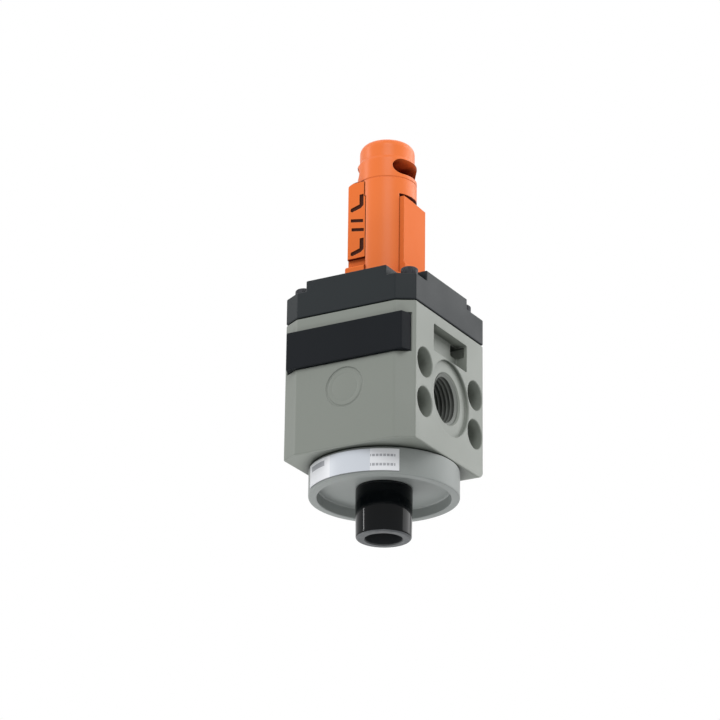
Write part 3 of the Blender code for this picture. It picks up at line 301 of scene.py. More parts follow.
def boolean(piece, other, operation):
    """Cut another shape away from a piece or make it one with the piece."""
    alone(piece)
    step = piece.modifiers.new(other.name, "BOOLEAN")
    step.operation = operation
    step.solver = "EXACT"
    step.object = other
    bpy.ops.object.modifier_apply(modifier=step.name)
    bpy.data.objects.remove(other, do_unlink=True)


def cut_away(piece, *cutters):
    """Cut each of the shapes out of the piece."""
    for cutter in cutters:
        boolean(piece, cutter, "DIFFERENCE")


def mend(piece):
    """Merge what a cut leaves double, and shade faces flat but rounded edges smooth."""
    alone(piece)
    bpy.ops.object.mode_set(mode="EDIT")
    bpy.ops.mesh.select_all(action="SELECT")
    bpy.ops.mesh.remove_doubles(threshold=MERGE_DISTANCE / 2)
    bpy.ops.object.mode_set(mode="OBJECT")
    bpy.ops.object.shade_smooth_by_angle(angle=math.radians(33))
    even = piece.modifiers.new("even_faces", "WEIGHTED_NORMAL")
    even.keep_sharp = True
    bpy.ops.object.modifier_apply(modifier=even.name)


def hole(name, radius, mouth, floor, centre, axis, steps=48, chamfer=0.0004):
    """Cutter for a drilled hole with a broken edge, from above its mouth down to its floor."""
    outward = 1 if mouth > floor else -1
    profile = [
        (0, mouth + OVERSHOOT * outward),
        (radius + chamfer + OVERSHOOT, mouth + OVERSHOOT * outward),
        (radius + chamfer, mouth),
        (radius, mouth - chamfer * outward),
        (radius, floor),
        (0, floor),
    ]
    return turned(name, profile, steps, axis, centre)


def arc(radius, start, end, count, centre=(0.0, 0.0)):
    """Points on an arc from one angle to another, in degrees, both ends included."""
    points = []
    for i in range(count + 1):
        angle = math.radians(start + (end - start) * i / count)
        points.append((centre[0] + radius * math.cos(angle), centre[1] + radius * math.sin(angle)))
    return points


def shouldered(name, low, high):
    """A block with the plan outline of body and cap: its two front corners sliced to shoulders."""
    made = block(name, (-BODY_WIDTH / 2, -BODY_FRONT, low), (BODY_WIDTH / 2, BODY_BACK, high))
    slope = Vector((SHOULDER_DEPTH, SHOULDER_WIDTH, 0)).normalized()
    for sx in (-1, 1):
        corner = (sx * BODY_WIDTH / 2, SHOULDER_DEPTH - BODY_FRONT, 0)
        slice_off(made, corner, (sx * slope.x, -slope.y, 0))
    return made


casting = shouldered("body_casting", BODY_FOOT, BODY_TOP)
round_edges(casting, BODY_EDGE, 3, 20)
foot_centre = (BODY_BACK - BACK_FOOT_ROUND, BODY_FOOT + BACK_FOOT_ROUND)
foot_round = [
    (BODY_BACK + OVERSHOOT, BODY_FOOT - OVERSHOOT),
    (BODY_BACK + OVERSHOOT, BODY_FOOT + BACK_FOOT_ROUND),
] + arc(BACK_FOOT_ROUND, 0, -90, 16, foot_centre) + [
    (BODY_BACK - BACK_FOOT_ROUND, BODY_FOOT - OVERSHOOT),
]
beside = BODY_WIDTH / 2 + OVERSHOOT
cut_away(casting, slab("back_foot", foot_round, -beside, beside, "X"))

# The bore takes the sleeve, opens into two ring-shaped galleries and widens for the flange's spigot.
SLEEVE_RADIUS = 0.0133
SLEEVE_SEAT_RADIUS = 0.0120
SLEEVE_SEAT = 0.03905
GALLERY_RADIUS = 0.0155
INLET_GALLERY = (0.05725, 0.06475)
OUTLET_GALLERY = (0.04475, 0.05225)
SPIGOT_RADIUS = 0.0233
SPIGOT_SEAT = 0.03635
main_bore = [
    (0, BODY_TOP + OVERSHOOT),
    (SLEEVE_RADIUS, BODY_TOP + OVERSHOOT),
    (SLEEVE_RADIUS, INLET_GALLERY[1]),
    (GALLERY_RADIUS, INLET_GALLERY[1]),
    (GALLERY_RADIUS, INLET_GALLERY[0]),
    (SLEEVE_RADIUS, INLET_GALLERY[0]),
    (SLEEVE_RADIUS, OUTLET_GALLERY[1]),
    (GALLERY_RADIUS, OUTLET_GALLERY[1]),
    (GALLERY_RADIUS, OUTLET_GALLERY[0]),
    (SLEEVE_RADIUS, OUTLET_GALLERY[0]),
    (SLEEVE_RADIUS, SLEEVE_SEAT),
    (SLEEVE_SEAT_RADIUS, SLEEVE_SEAT),
    (SLEEVE_SEAT_RADIUS, SPIGOT_SEAT),
    (SPIGOT_RADIUS, SPIGOT_SEAT),
    (SPIGOT_RADIUS, BODY_FOOT - OVERSHOOT),
    (0, BODY_FOOT - OVERSHOOT),
]
cut_away(casting, turned("main_bore", main_bore, 96))

# Ports, each in a machined facing, with a door from its floor into its gallery.
PORT_RADIUS = 0.01048
PORT_MOUTH_RADIUS = 0.0111
PORT_FLOOR = 0.0170
FACING_RADIUS = 0.0157
FACING_DEPTH = 0.0015
FACING_EDGE = 0.0003
DOOR_HALF = 0.0065
DOOR_NEAR = 0.0135
DOOR_FAR = 0.0180
OUTLET_DOOR = (0.0454, 0.0522)
INLET_DOOR = (0.0573, 0.0641)
face = BODY_WIDTH / 2
for sx in (-1, 1):
    facing = face - FACING_DEPTH
    lip = PORT_MOUTH_RADIUS - PORT_RADIUS
    profile = [
        (0, sx * (face + OVERSHOOT)),
        (FACING_RADIUS + FACING_EDGE + OVERSHOOT, sx * (face + OVERSHOOT)),
        (FACING_RADIUS + FACING_EDGE, sx * face),
        (FACING_RADIUS, sx * (face - FACING_EDGE)),
        (FACING_RADIUS, sx * facing),
        (PORT_MOUTH_RADIUS, sx * facing),
        (PORT_RADIUS, sx * (facing - lip)),
        (PORT_RADIUS, sx * PORT_FLOOR),
        (0, sx * PORT_FLOOR),
    ]
    cut_away(casting, turned("port", profile, 96, "X", (0, 0, PORT_HEIGHT)))
cut_away(
    casting,
    block("outlet_door", (DOOR_NEAR, -DOOR_HALF, OUTLET_DOOR[0]), (DOOR_FAR, DOOR_HALF, OUTLET_DOOR[1])),
    block("inlet_door", (-DOOR_FAR, -DOOR_HALF, INLET_DOOR[0]), (-DOOR_NEAR, DOOR_HALF, INLET_DOOR[1])),
)

# Tie-screw holes, counterbored from both sides and drilled right through.
TIE_Y = 0.0211
TIE_Z = 0.00835
TIE_SHANK_RADIUS = 0.0033
TIE_SHANK_REACH = 0.0200
TIE_HEAD_RADIUS = 0.00615
TIE_HEAD_FLOOR = 0.0140
for sy in (-1, 1):
    for sz in (-1, 1):
        place = (0, sy * TIE_Y, PORT_HEIGHT + sz * TIE_Z)
        ends = (TIE_SHANK_REACH, -TIE_SHANK_REACH)
        cut_away(casting, hole("tie_shank", TIE_SHANK_RADIUS, *ends, place, "X", 32, 0.0))
        for sx in (-1, 1):
            head = hole("tie_head", TIE_HEAD_RADIUS, sx * face, sx * TIE_HEAD_FLOOR, place, "X", 48, 0.0003)
            cut_away(casting, head)

# Clamp pockets, each with an undercut in one top corner.
POCKET_LOW = PORT_HEIGHT + 0.0159
POCKET_HIGH = POCKET_LOW + 0.0116
POCKET_HALF = 0.0140
POCKET_DEPTH = 0.0050
POCKET_EDGE = 0.0006
CORNER_DEPTH = 0.0085
CORNER_LIP = 0.0014
CORNER_NEAR = 0.0090
CORNER_FAR = 0.0155
CORNER_HEIGHT = 0.0050
CORNER_EDGE = 0.0005
for sx in (-1, 1):
    depths = sorted((sx * (face - POCKET_DEPTH), sx * (face + OVERSHOOT)))
    pocket = block("pocket", (depths[0], -POCKET_HALF, POCKET_LOW), (depths[1], POCKET_HALF, POCKET_HIGH))
    round_edges(pocket, POCKET_EDGE, 2)
    depths = sorted((sx * (face - CORNER_DEPTH), sx * (face - CORNER_LIP)))
    deeper = block(
        "pocket_corner",
        (depths[0], CORNER_NEAR, POCKET_HIGH - CORNER_HEIGHT),
        (depths[1], CORNER_FAR, POCKET_HIGH - 0.0003),
    )
    round_edges(deeper, CORNER_EDGE, 2)
    boolean(pocket, deeper, "UNION")
    cut_away(casting, pocket)

# Holes for the cap bolts, the front bar's seat and a plain roundel.
SCREW_HOLE_FLOOR = 0.0751
for x, y in SCREW_PLACES:
    place = (x, y, 0)
    drilled = hole("cap_screw_hole", SCREW_HOLE_RADIUS, BODY_TOP, SCREW_HOLE_FLOOR, place, "Z", 24, 0.0002)
    cut_away(casting, drilled)

PLATE_LOW = 0.06535
PLATE_HIGH = 0.08135
PLATE_PLAY = 0.0003
seat = [
    (-0.0228, -0.0320),
    (-0.0286, -0.0287),
    (-0.0286, -0.0345),
    (0.0286, -0.0345),
    (0.0286, -0.0287),
    (0.0228, -0.0320),
]
cut_away(casting, slab("plate_seat", seat, PLATE_LOW - PLATE_PLAY, PLATE_HIGH + PLATE_PLAY))

ROUNDEL_RADIUS = 0.0084
ROUNDEL_HEIGHT = PORT_HEIGHT - 0.0008
INNER_RING_RADIUS = 0.0058
sunk_face = -BODY_FRONT + 0.00018
groove_floor = -BODY_FRONT + 0.0004
roundel = [
    (0, -BODY_FRONT - OVERSHOOT),
    (ROUNDEL_RADIUS + 0.0002, -BODY_FRONT - OVERSHOOT),
    (ROUNDEL_RADIUS + 0.0002, -BODY_FRONT),
    (ROUNDEL_RADIUS, groove_floor),
    (ROUNDEL_RADIUS - 0.0007, groove_floor),
    (ROUNDEL_RADIUS - 0.0010, sunk_face),
    (INNER_RING_RADIUS + 0.0004, sunk_face),
    (INNER_RING_RADIUS, sunk_face + 0.00012),
    (INNER_RING_RADIUS - 0.0004, sunk_face),
    (0, sunk_face),
]
cut_away(casting, turned("roundel", roundel, 72, "Y", (0, 0, ROUNDEL_HEIGHT)))
mend(casting)


def new_group(name, inputs, outputs):
    """An empty shader group with its named inputs and outputs."""
    group = bpy.data.node_groups.new(name, "ShaderNodeTree")
    for label, value in inputs:
        socket = group.interface.new_socket(name=label, in_out="INPUT", socket_type="NodeSocketFloat")
        socket.default_value = value
    for label, kind in outputs:
        group.interface.new_socket(name=label, in_out="OUTPUT", socket_type=kind)
    return group, group.nodes.new("NodeGroupInput"), group.nodes.new("NodeGroupOutput")


# Shader group for the skin of a cast or moulded piece: slow patches and a fine grain.
skin, given, result = new_group(
    "cast_skin",
    [("Patches per metre", 30.0), ("Grains per metre", 2500.0)],
    [("Patches", "NodeSocketFloat"), ("Grain", "NodeSocketFloat")],
)
spot = skin.nodes.new("ShaderNodeTexCoord")
slow = skin.nodes.new("ShaderNodeTexNoise")
slow.inputs["Detail"].default_value = 3.0
fine = skin.nodes.new("ShaderNodeTexNoise")
fine.inputs["Detail"].default_value = 2.0
link = skin.links.new
link(spot.outputs["Object"], slow.inputs["Vector"])
link(spot.outputs["Object"], fine.inputs["Vector"])
link(given.outputs["Patches per metre"], slow.inputs["Scale"])
link(given.outputs["Grains per metre"], fine.inputs["Scale"])
link(slow.outputs["Fac"], result.inputs["Patches"])
link(fine.outputs["Fac"], result.inputs["Grain"])

# Shader group for wear and painted shade: where edges are rubbed, where hollows are darkened as
# dust and painted shade, where painted shade falls on downward faces under overhangs, and a soft edge.
wear_and_shade_group, given, result = new_group(
    "rubbed_edges_and_shade",
    [("Edge width", 0.0004), ("Hollow reach", 0.004)],
    [
        ("Edge", "NodeSocketFloat"),
        ("Hollow", "NodeSocketFloat"),
        ("Overhang", "NodeSocketFloat"),
        ("Normal", "NodeSocketVector"),
    ],
)
soft = wear_and_shade_group.nodes.new("ShaderNodeBevel")
soft.samples = 6
shape = wear_and_shade_group.nodes.new("ShaderNodeNewGeometry")
across_edge = wear_and_shade_group.nodes.new("ShaderNodeVectorMath")
across_edge.operation = "DOT_PRODUCT"
edge = wear_and_shade_group.nodes.new("ShaderNodeMapRange")
edge.inputs["From Min"].default_value = 0.99
edge.inputs["From Max"].default_value = 0.86
# Ambient occlusion marks the hollows that are darkened as dust and painted shade.
shade = wear_and_shade_group.nodes.new("ShaderNodeAmbientOcclusion")
shade.samples = 6
hollow = wear_and_shade_group.nodes.new("ShaderNodeMapRange")
hollow.inputs["From Min"].default_value = 0.9
hollow.inputs["From Max"].default_value = 0.2
# Downward faces in hollows mark where painted shade falls under overhangs.
facing = wear_and_shade_group.nodes.new("ShaderNodeSeparateXYZ")
downward = wear_and_shade_group.nodes.new("ShaderNodeMath")
downward.operation = "MULTIPLY"
downward.inputs[1].default_value = -1.0
downward.use_clamp = True
overhang = wear_and_shade_group.nodes.new("ShaderNodeMath")
overhang.operation = "MULTIPLY"
link = wear_and_shade_group.links.new
link(shape.outputs["Normal"], facing.inputs[0])
link(facing.outputs["Z"], downward.inputs[0])
link(downward.outputs[0], overhang.inputs[0])
link(hollow.outputs["Result"], overhang.inputs[1])
link(overhang.outputs[0], result.inputs["Overhang"])
link(given.outputs["Edge width"], soft.inputs["Radius"])
link(given.outputs["Hollow reach"], shade.inputs["Distance"])
link(soft.outputs["Normal"], across_edge.inputs[0])
link(shape.outputs["Normal"], across_edge.inputs[1])
link(across_edge.outputs["Value"], edge.inputs["Value"])
link(shade.outputs["AO"], hollow.inputs["Value"])
link(edge.outputs["Result"], result.inputs["Edge"])
link(hollow.outputs["Result"], result.inputs["Hollow"])
link(soft.outputs["Normal"], result.inputs["Normal"])

# Over one, so that the painted shade under overhangs covers fully before a hollow is at its darkest.
OVERHANG_SHADE_SHARE = 1.6


def finish(
    name, colour, roughness, patchy, rubbed, dust_and_shade, grain, relief, edge_width=0.0004, metallic=0.0,
    edge_share=0.5, dust_and_shade_share=0.5, overhang_shade=None, patches=30.0, specular=0.5, reach=0.004,
):
    """A cast, moulded or turned surface: its colour, then the colours of its patches, of rubbed
    edges, of dust and painted shade in hollows and of painted shade under overhangs, and a fine
    grain of relief metres."""
    made = bpy.data.materials.new(name)
    made.use_nodes = True
    tree = made.node_tree
    shader = tree.nodes["Principled BSDF"]
    shader.inputs["Metallic"].default_value = metallic
    shader.inputs["Specular IOR Level"].default_value = specular
    skin_node = tree.nodes.new("ShaderNodeGroup")
    skin_node.node_tree = skin
    skin_node.inputs["Patches per metre"].default_value = patches
    skin_node.inputs["Grains per metre"].default_value = grain
    wear_and_shade = tree.nodes.new("ShaderNodeGroup")
    wear_and_shade.node_tree = wear_and_shade_group
    wear_and_shade.inputs["Edge width"].default_value = edge_width
    wear_and_shade.inputs["Hollow reach"].default_value = reach

    def blend(first, second, share, amount):
        """Mix two colours by a mask and the most that the mask may do."""
        part = tree.nodes.new("ShaderNodeMath")
        part.operation = "MULTIPLY"
        part.inputs[1].default_value = amount
        part.use_clamp = True
        tree.links.new(share, part.inputs[0])
        both = tree.nodes.new("ShaderNodeMix")
        both.data_type = "RGBA"
        tree.links.new(part.outputs[0], both.inputs["Factor"])
        for socket, value in ((both.inputs["A"], first), (both.inputs["B"], second)):
            if isinstance(value, bpy.types.NodeSocket):
                tree.links.new(value, socket)
            else:
                socket.default_value = tint(value)
        return both.outputs["Result"]

    patched = blend(colour, patchy, skin_node.outputs["Patches"], 1.0)
    edged = blend(patched, rubbed, wear_and_shade.outputs["Edge"], edge_share)
    # Dust and painted shade: hollows darkened where ambient occlusion finds them.
    with_hollows_darkened = blend(edged, dust_and_shade, wear_and_shade.outputs["Hollow"], dust_and_shade_share)
    # Painted shade on downward faces in hollows.
    if overhang_shade is not None:
        with_hollows_darkened = blend(with_hollows_darkened, overhang_shade, wear_and_shade.outputs["Overhang"], OVERHANG_SHADE_SHARE)
    tree.links.new(with_hollows_darkened, shader.inputs["Base Color"])
    sheen = tree.nodes.new("ShaderNodeMapRange")
    sheen.inputs["From Min"].default_value = 0.3
    sheen.inputs["From Max"].default_value = 0.7
    sheen.inputs["To Min"].default_value = roughness * 0.9
    sheen.inputs["To Max"].default_value = roughness * 1.1
    tree.links.new(skin_node.outputs["Patches"], sheen.inputs["Value"])
    tree.links.new(sheen.outputs["Result"], shader.inputs["Roughness"])
    bump = tree.nodes.new("ShaderNodeBump")
    bump.inputs["Distance"].default_value = relief
    tree.links.new(skin_node.outputs["Grain"], bump.inputs["Height"])
    tree.links.new(wear_and_shade.outputs["Normal"], bump.inputs["Normal"])
    tree.links.new(bump.outputs["Normal"], shader.inputs["Normal"])
    return made


# (92, 98, 90) darkens hollows as dust and painted shade; (54, 59, 54) is painted shade under overhangs.
grey_paint = finish(
    "grey_paint", (139, 144, 137), 0.45, (134, 139, 132), (168, 173, 167), (92, 98, 90), 1800, 0.00004,
    dust_and_shade_share=0.15, overhang_shade=(54, 59, 54), specular=0.42, reach=0.006,
)
casting.data.materials.append(grey_paint)
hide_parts("valve_body")
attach(casting, "housing")

# Port threads. The G1/2 pipe threads are cut after painting, so they are bare aluminium; each is
# one right-hand ridge winding from the port's mouth to its floor.
THREAD_PITCH = 0.001814
THREAD_DEPTH = 0.00116
THREAD_TURNS = 5.2
THREAD_STEPS = int(48 * THREAD_TURNS)
THREAD_CREST = 0.00012
THREAD_BITE = 0.00003
THREAD_GAP = 0.00004
INLET_THREAD_START = -0.0279
OUTLET_THREAD_START = 0.0172
# (70, 73, 69) at share 0.9 darkens the threads deep in the ports as dust and painted shade.
cut_aluminium = finish(
    "cut_aluminium", (128, 131, 127), 0.55, (118, 121, 117), (158, 161, 157), (70, 73, 69), 3200, 0.00001,
    edge_width=0.0002, metallic=0.4, dust_and_shade_share=0.9, specular=0.3, reach=0.012,
)
root = PORT_RADIUS + THREAD_BITE
crest = PORT_RADIUS - THREAD_DEPTH
middle_of_ridge = THREAD_PITCH / 2
for name, start in (("inlet_thread", INLET_THREAD_START), ("outlet_thread", OUTLET_THREAD_START)):
    ridge = [
        Vector((start, 0, root)),
        Vector((start + middle_of_ridge - THREAD_CREST, 0, crest)),
        Vector((start + middle_of_ridge + THREAD_CREST, 0, crest)),
        Vector((start + THREAD_PITCH - THREAD_GAP, 0, root)),
        Vector((start, 0, root)),
    ]
    thread = close_up(draw_line(name, ridge))
    wind = thread.modifiers.new("wind", "SCREW")
    wind.axis = "X"
    wind.angle = math.tau * THREAD_TURNS
    wind.screw_offset = THREAD_PITCH * THREAD_TURNS
    wind.steps = THREAD_STEPS
    wind.render_steps = THREAD_STEPS
    bpy.ops.object.modifier_apply(modifier=wind.name)
    bpy.ops.object.mode_set(mode="EDIT")
    bpy.ops.mesh.select_all(action="SELECT")
    bpy.ops.transform.translate(value=(0, 0, PORT_HEIGHT))
    bpy.ops.mesh.fill_holes(sides=0)
    close_up(thread)
    mend(thread)
    thread.data.materials.append(cut_aluminium)
    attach(thread, "housing")

# Front bar. A black plastic moulding with slanted ends, let into the front face and clipped in by
# two pegs; its face is left blank.
BAR_EDGE = 0.0004
PEG_X = 0.0150
PEG_RADIUS = 0.0020
PEG_ROOT = -0.0322
PEG_END = -0.0280
bar_outline = [
    (-0.0227, -0.03245),
    (-0.02815, -0.0292),
    (-0.02815, -0.0302),
    (-0.02645, -0.0344),
    (0.02645, -0.0344),
    (0.02815, -0.0302),
    (0.02815, -0.0292),
    (0.0227, -0.03245),
]
bar = slab("front_bar", bar_outline, PLATE_LOW, PLATE_HIGH)
round_edges(bar, BAR_EDGE, 3, 25)
peg_profile = [
    (0, PEG_ROOT),
    (PEG_RADIUS, PEG_ROOT),
    (PEG_RADIUS, PEG_END - 0.0003),
    (PEG_RADIUS - 0.0003, PEG_END),
    (0, PEG_END),
]
for sx in (-1, 1):
    peg = turned("peg", peg_profile, 32, "Y", (sx * PEG_X, 0, (PLATE_LOW + PLATE_HIGH) / 2))
    boolean(bar, peg, "UNION")
mend(bar)
black_plastic = finish(
    "black_plate_plastic", (13, 17, 21), 0.45, (20, 24, 29), (60, 65, 70), (12, 14, 17), 2600, 0.00002,
    specular=0.12,
)
bar.data.materials.append(black_plastic)
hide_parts("front_plate")
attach(bar, "housing")

# Top cap. An anthracite plastic moulding with the body's outline and four cleared corners for
# its screws, bored in the middle for the guide bush.
CAP_FOOT = 0.08745
CAP_SHELF = 0.09865
CAP_TOP = 0.10305
CAP_EDGE = 0.0005
CLEARED_X = 0.0185
CLEARED_FRONT = -0.0200
CLEARED_BACK = 0.0143
BUSH_COLLAR_RADIUS = 0.0088
BUSH_COLLAR_TOP = 0.08925
BUSH_RADIUS = 0.0063
STEM_SEAL_RADIUS = 0.0073
STEM_SEAL_FOOT = 0.10005
GASKET_INSIDE = 0.0177
GASKET_OUTSIDE = 0.0213
GASKET_DEPTH = 0.0019
GUARD_SCREW_PLACE = 0.0098
GUARD_SCREW_RADIUS = 0.00155
GUARD_HEAD_RADIUS = 0.00255
GUARD_SCREW_SEAT = 0.09195
above = CAP_TOP + OVERSHOOT
below = CAP_FOOT - OVERSHOOT
cap = shouldered("cap_moulding", CAP_FOOT, CAP_TOP)
before = -BODY_FRONT - OVERSHOOT
beyond = BODY_BACK + OVERSHOOT
for sx in (-1, 1):
    for near, far in ((before, CLEARED_FRONT), (CLEARED_BACK, beyond)):
        xs = sorted((sx * CLEARED_X, sx * beside))
        cut_away(cap, block("cleared_corner", (xs[0], near, CAP_SHELF), (xs[1], far, above)))
round_edges(cap, CAP_EDGE, 3, 20)
cap_bore = [
    (0, above),
    (STEM_SEAL_RADIUS, above),
    (STEM_SEAL_RADIUS, STEM_SEAL_FOOT),
    (BUSH_RADIUS, STEM_SEAL_FOOT),
    (BUSH_RADIUS, BUSH_COLLAR_TOP),
    (BUSH_COLLAR_RADIUS, BUSH_COLLAR_TOP),
    (BUSH_COLLAR_RADIUS, below),
    (0, below),
]
cut_away(cap, turned("cap_bore", cap_bore, 64))
gasket_groove = [
    (GASKET_OUTSIDE, CAP_FOOT + GASKET_DEPTH),
    (GASKET_OUTSIDE, below),
    (GASKET_INSIDE, below),
    (GASKET_INSIDE, CAP_FOOT + GASKET_DEPTH),
]
cut_away(cap, turned("gasket_groove", gasket_groove, 64, closed=True))
for x, y in SCREW_PLACES:
    cut_away(cap, hole("shank_hole", SCREW_HOLE_RADIUS, CAP_SHELF, below, (x, y, 0), "Z", 24, 0.0002))
screw_passage = [
    (0, above),
    (GUARD_SCREW_RADIUS, above),
    (GUARD_SCREW_RADIUS, GUARD_SCREW_SEAT),
    (GUARD_HEAD_RADIUS, GUARD_SCREW_SEAT),
    (GUARD_HEAD_RADIUS, below),
    (0, below),
]
for sx in (-1, 1):
    for sy in (-1, 1):
        place = (sx * GUARD_SCREW_PLACE, sy * GUARD_SCREW_PLACE, 0)
        cut_away(cap, turned("guard_screw_passage", screw_passage, 24, "Z", place))
mend(cap)
anthracite = finish(
    "anthracite_plastic", (31, 37, 40), 0.5, (27, 33, 36), (74, 80, 83), (24, 28, 30), 2800, 0.00004,
    edge_share=0.6, specular=0.22,
)
cap.data.materials.append(anthracite)
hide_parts("top_cap")
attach(cap, "housing")

# Cap bolts. Four blackened M4 socket screws with knurled heads, screwed through the cap's corners
# into the body; one is turned and three are copied.
BOLT_SEAT = 0.09895
BOLT_TOP = 0.10295
BOLT_END = 0.0755
BOLT_HEAD_RADIUS = 0.0035
BOLT_SHANK_RADIUS = 0.0020
BOLT_X, BOLT_Y = SCREW_PLACES[0]
KNURLS = 32
KNURL_SCALE = 0.955
SOCKET_RADIUS = 0.00173
SOCKET_DEPTH = 0.0020
bolt_profile = [
    (0, BOLT_TOP),
    (BOLT_HEAD_RADIUS - 0.0004, BOLT_TOP),
    (BOLT_HEAD_RADIUS, BOLT_TOP - 0.0004),
    (BOLT_HEAD_RADIUS, BOLT_SEAT + 0.0002),
    (BOLT_HEAD_RADIUS - 0.0002, BOLT_SEAT),
    (BOLT_SHANK_RADIUS, BOLT_SEAT),
    (BOLT_SHANK_RADIUS, BOLT_END + 0.0004),
    (BOLT_SHANK_RADIUS - 0.0004, BOLT_END),
    (0, BOLT_END),
]
bolt = turned("cap_bolt_1", bolt_profile, KNURLS * 2, "Z", (BOLT_X, BOLT_Y, 0))
alone(bolt)
bpy.ops.object.mode_set(mode="EDIT")
bpy.ops.mesh.select_all(action="DESELECT")
bpy.ops.object.mode_set(mode="OBJECT")
for vertex in bolt.data.vertices:
    x = vertex.co.x - BOLT_X
    y = vertex.co.y - BOLT_Y
    turn = math.atan2(y, x) / math.tau * KNURLS * 2
    vertex.select = math.hypot(x, y) > BOLT_HEAD_RADIUS - 0.0001 and round(turn) % 2 == 1
bpy.ops.object.mode_set(mode="EDIT")
bpy.ops.transform.resize(value=(KNURL_SCALE, KNURL_SCALE, 1), center_override=(BOLT_X, BOLT_Y, 0))
bpy.ops.object.mode_set(mode="OBJECT")
alone()
bpy.ops.mesh.primitive_cylinder_add(
    vertices=6, radius=SOCKET_RADIUS, depth=2 * SOCKET_DEPTH, location=(BOLT_X, BOLT_Y, BOLT_TOP)
)
hexagon = bpy.context.object
hexagon.name = "hexagon"
bpy.ops.object.transform_apply(location=True, rotation=True, scale=True)
cut_away(bolt, hexagon)
mend(bolt)
blackened = finish(
    "blackened_steel", (52, 53, 56), 0.38, (44, 45, 48), (128, 129, 132), (30, 30, 31), 3000, 0.00001,
    edge_width=0.00015, metallic=0.9,
)
bolt.data.materials.append(blackened)
bolts = [bolt]
for number, (x, y) in enumerate(SCREW_PLACES[1:], start=2):
    alone(bolt)
    bpy.ops.object.duplicate(linked=False)
    copy = bpy.context.object
    copy.name = f"cap_bolt_{number}"
    copy.location = (x - BOLT_X, y - BOLT_Y, 0)
    bpy.ops.object.transform_apply(location=True, rotation=True, scale=True)
    bolts.append(copy)
for number, piece in enumerate(bolts, start=1):
    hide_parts(f"cap_screw_{number}")
    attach(piece, "housing")

# Lock guard. A square orange tower moulded in one, with a window at its front, a taller post at
# the left, an undercut at the post's foot and the locking tab inside its back wall. Hooks and bars
# engraved in the post and filled dark stand where the real one has lettering.
GUARD_FOOT = 0.10335
GUARD_TOP = 0.14585
POST_TOP = 0.15335
GUARD_HALF = 0.0120
GUARD_BASE_HALF = 0.01265
GUARD_EDGE = 0.0011
GUARD_BASE_EDGE = 0.0009
GUARD_BORE_RADIUS = 0.0105
COLLAR_BORE_RADIUS = 0.01265
SIDE_TOP = 0.14475
BACK_TOP = 0.14405
WINDOW_EDGE = -0.0035
WINDOW_SILL = 0.10885
WINDOW_DEPTH = -0.0070
PAST_WINDOW_EDGE = -0.0018
POST_BACK = -0.0055
POST_SLOPE_FOOT = 0.15085
UNDERCUT_FOOT = 0.11535
UNDERCUT_TOP = 0.11885
UNDERCUT_FLOOR = -0.0104
SCREW_HOLE_TOP = 0.10795
OUTSIDE = 0.0140
ABOVE_POST = 0.1560
PIN_HEIGHT = 0.11345
SLOT_HEIGHT = 0.15855
guard = block("guard_moulding", (-GUARD_HALF, -GUARD_HALF, GUARD_FOOT), (GUARD_HALF, GUARD_HALF, POST_TOP))
round_edges(guard, GUARD_EDGE, 4)
base = block(
    "guard_base",
    (-GUARD_BASE_HALF, -GUARD_BASE_HALF, GUARD_FOOT),
    (GUARD_BASE_HALF, GUARD_BASE_HALF, UNDERCUT_FOOT),
)
round_edges(base, GUARD_BASE_EDGE, 4)
boolean(guard, base, "UNION")
guard_bore = [
    (0, POST_TOP + OVERSHOOT),
    (COLLAR_BORE_RADIUS, POST_TOP + OVERSHOOT),
    (COLLAR_BORE_RADIUS, GUARD_TOP),
    (GUARD_BORE_RADIUS, GUARD_TOP),
    (GUARD_BORE_RADIUS, GUARD_FOOT - OVERSHOOT),
    (0, GUARD_FOOT - OVERSHOOT),
]
cut_away(guard, turned("guard_bore", guard_bore, 96))
window_corner = (OUTSIDE, WINDOW_DEPTH, ABOVE_POST)
cut_away(guard, block("front_window", (WINDOW_EDGE, -OUTSIDE, WINDOW_SILL), window_corner))
right_top = [
    (-OUTSIDE, SIDE_TOP),
    (0.0, SIDE_TOP),
    (OUTSIDE, BACK_TOP),
    (OUTSIDE, ABOVE_POST),
    (-OUTSIDE, ABOVE_POST),
]
cut_away(guard, slab("right_top", right_top, WINDOW_EDGE, OUTSIDE, "X"))
left_top = [
    (POST_BACK, GUARD_TOP),
    (0.0, GUARD_TOP),
    (OUTSIDE, BACK_TOP),
    (OUTSIDE, ABOVE_POST),
    (POST_BACK, ABOVE_POST),
]
cut_away(guard, slab("left_top", left_top, -OUTSIDE, PAST_WINDOW_EDGE, "X"))
post_slope = [
    (-0.0130, POST_SLOPE_FOOT),
    (-0.0080, POST_TOP),
    (-0.0080, ABOVE_POST),
    (-0.0130, ABOVE_POST),
]
cut_away(guard, slab("post_slope", post_slope, -OUTSIDE, OUTSIDE, "Y"))
undercut_corner = (PAST_WINDOW_EDGE, UNDERCUT_FLOOR, UNDERCUT_TOP)
cut_away(guard, block("undercut", (-OUTSIDE, -OUTSIDE, UNDERCUT_FOOT), undercut_corner))
screw_hole = [
    (0, SCREW_HOLE_TOP),
    (GUARD_SCREW_RADIUS, SCREW_HOLE_TOP),
    (GUARD_SCREW_RADIUS, GUARD_FOOT - OVERSHOOT),
    (0, GUARD_FOOT - OVERSHOOT),
]
for sx in (-1, 1):
    for sy in (-1, 1):
        place = (sx * GUARD_SCREW_PLACE, sy * GUARD_SCREW_PLACE, 0)
        cut_away(guard, turned("guard_screw_hole", screw_hole, 24, "Z", place))

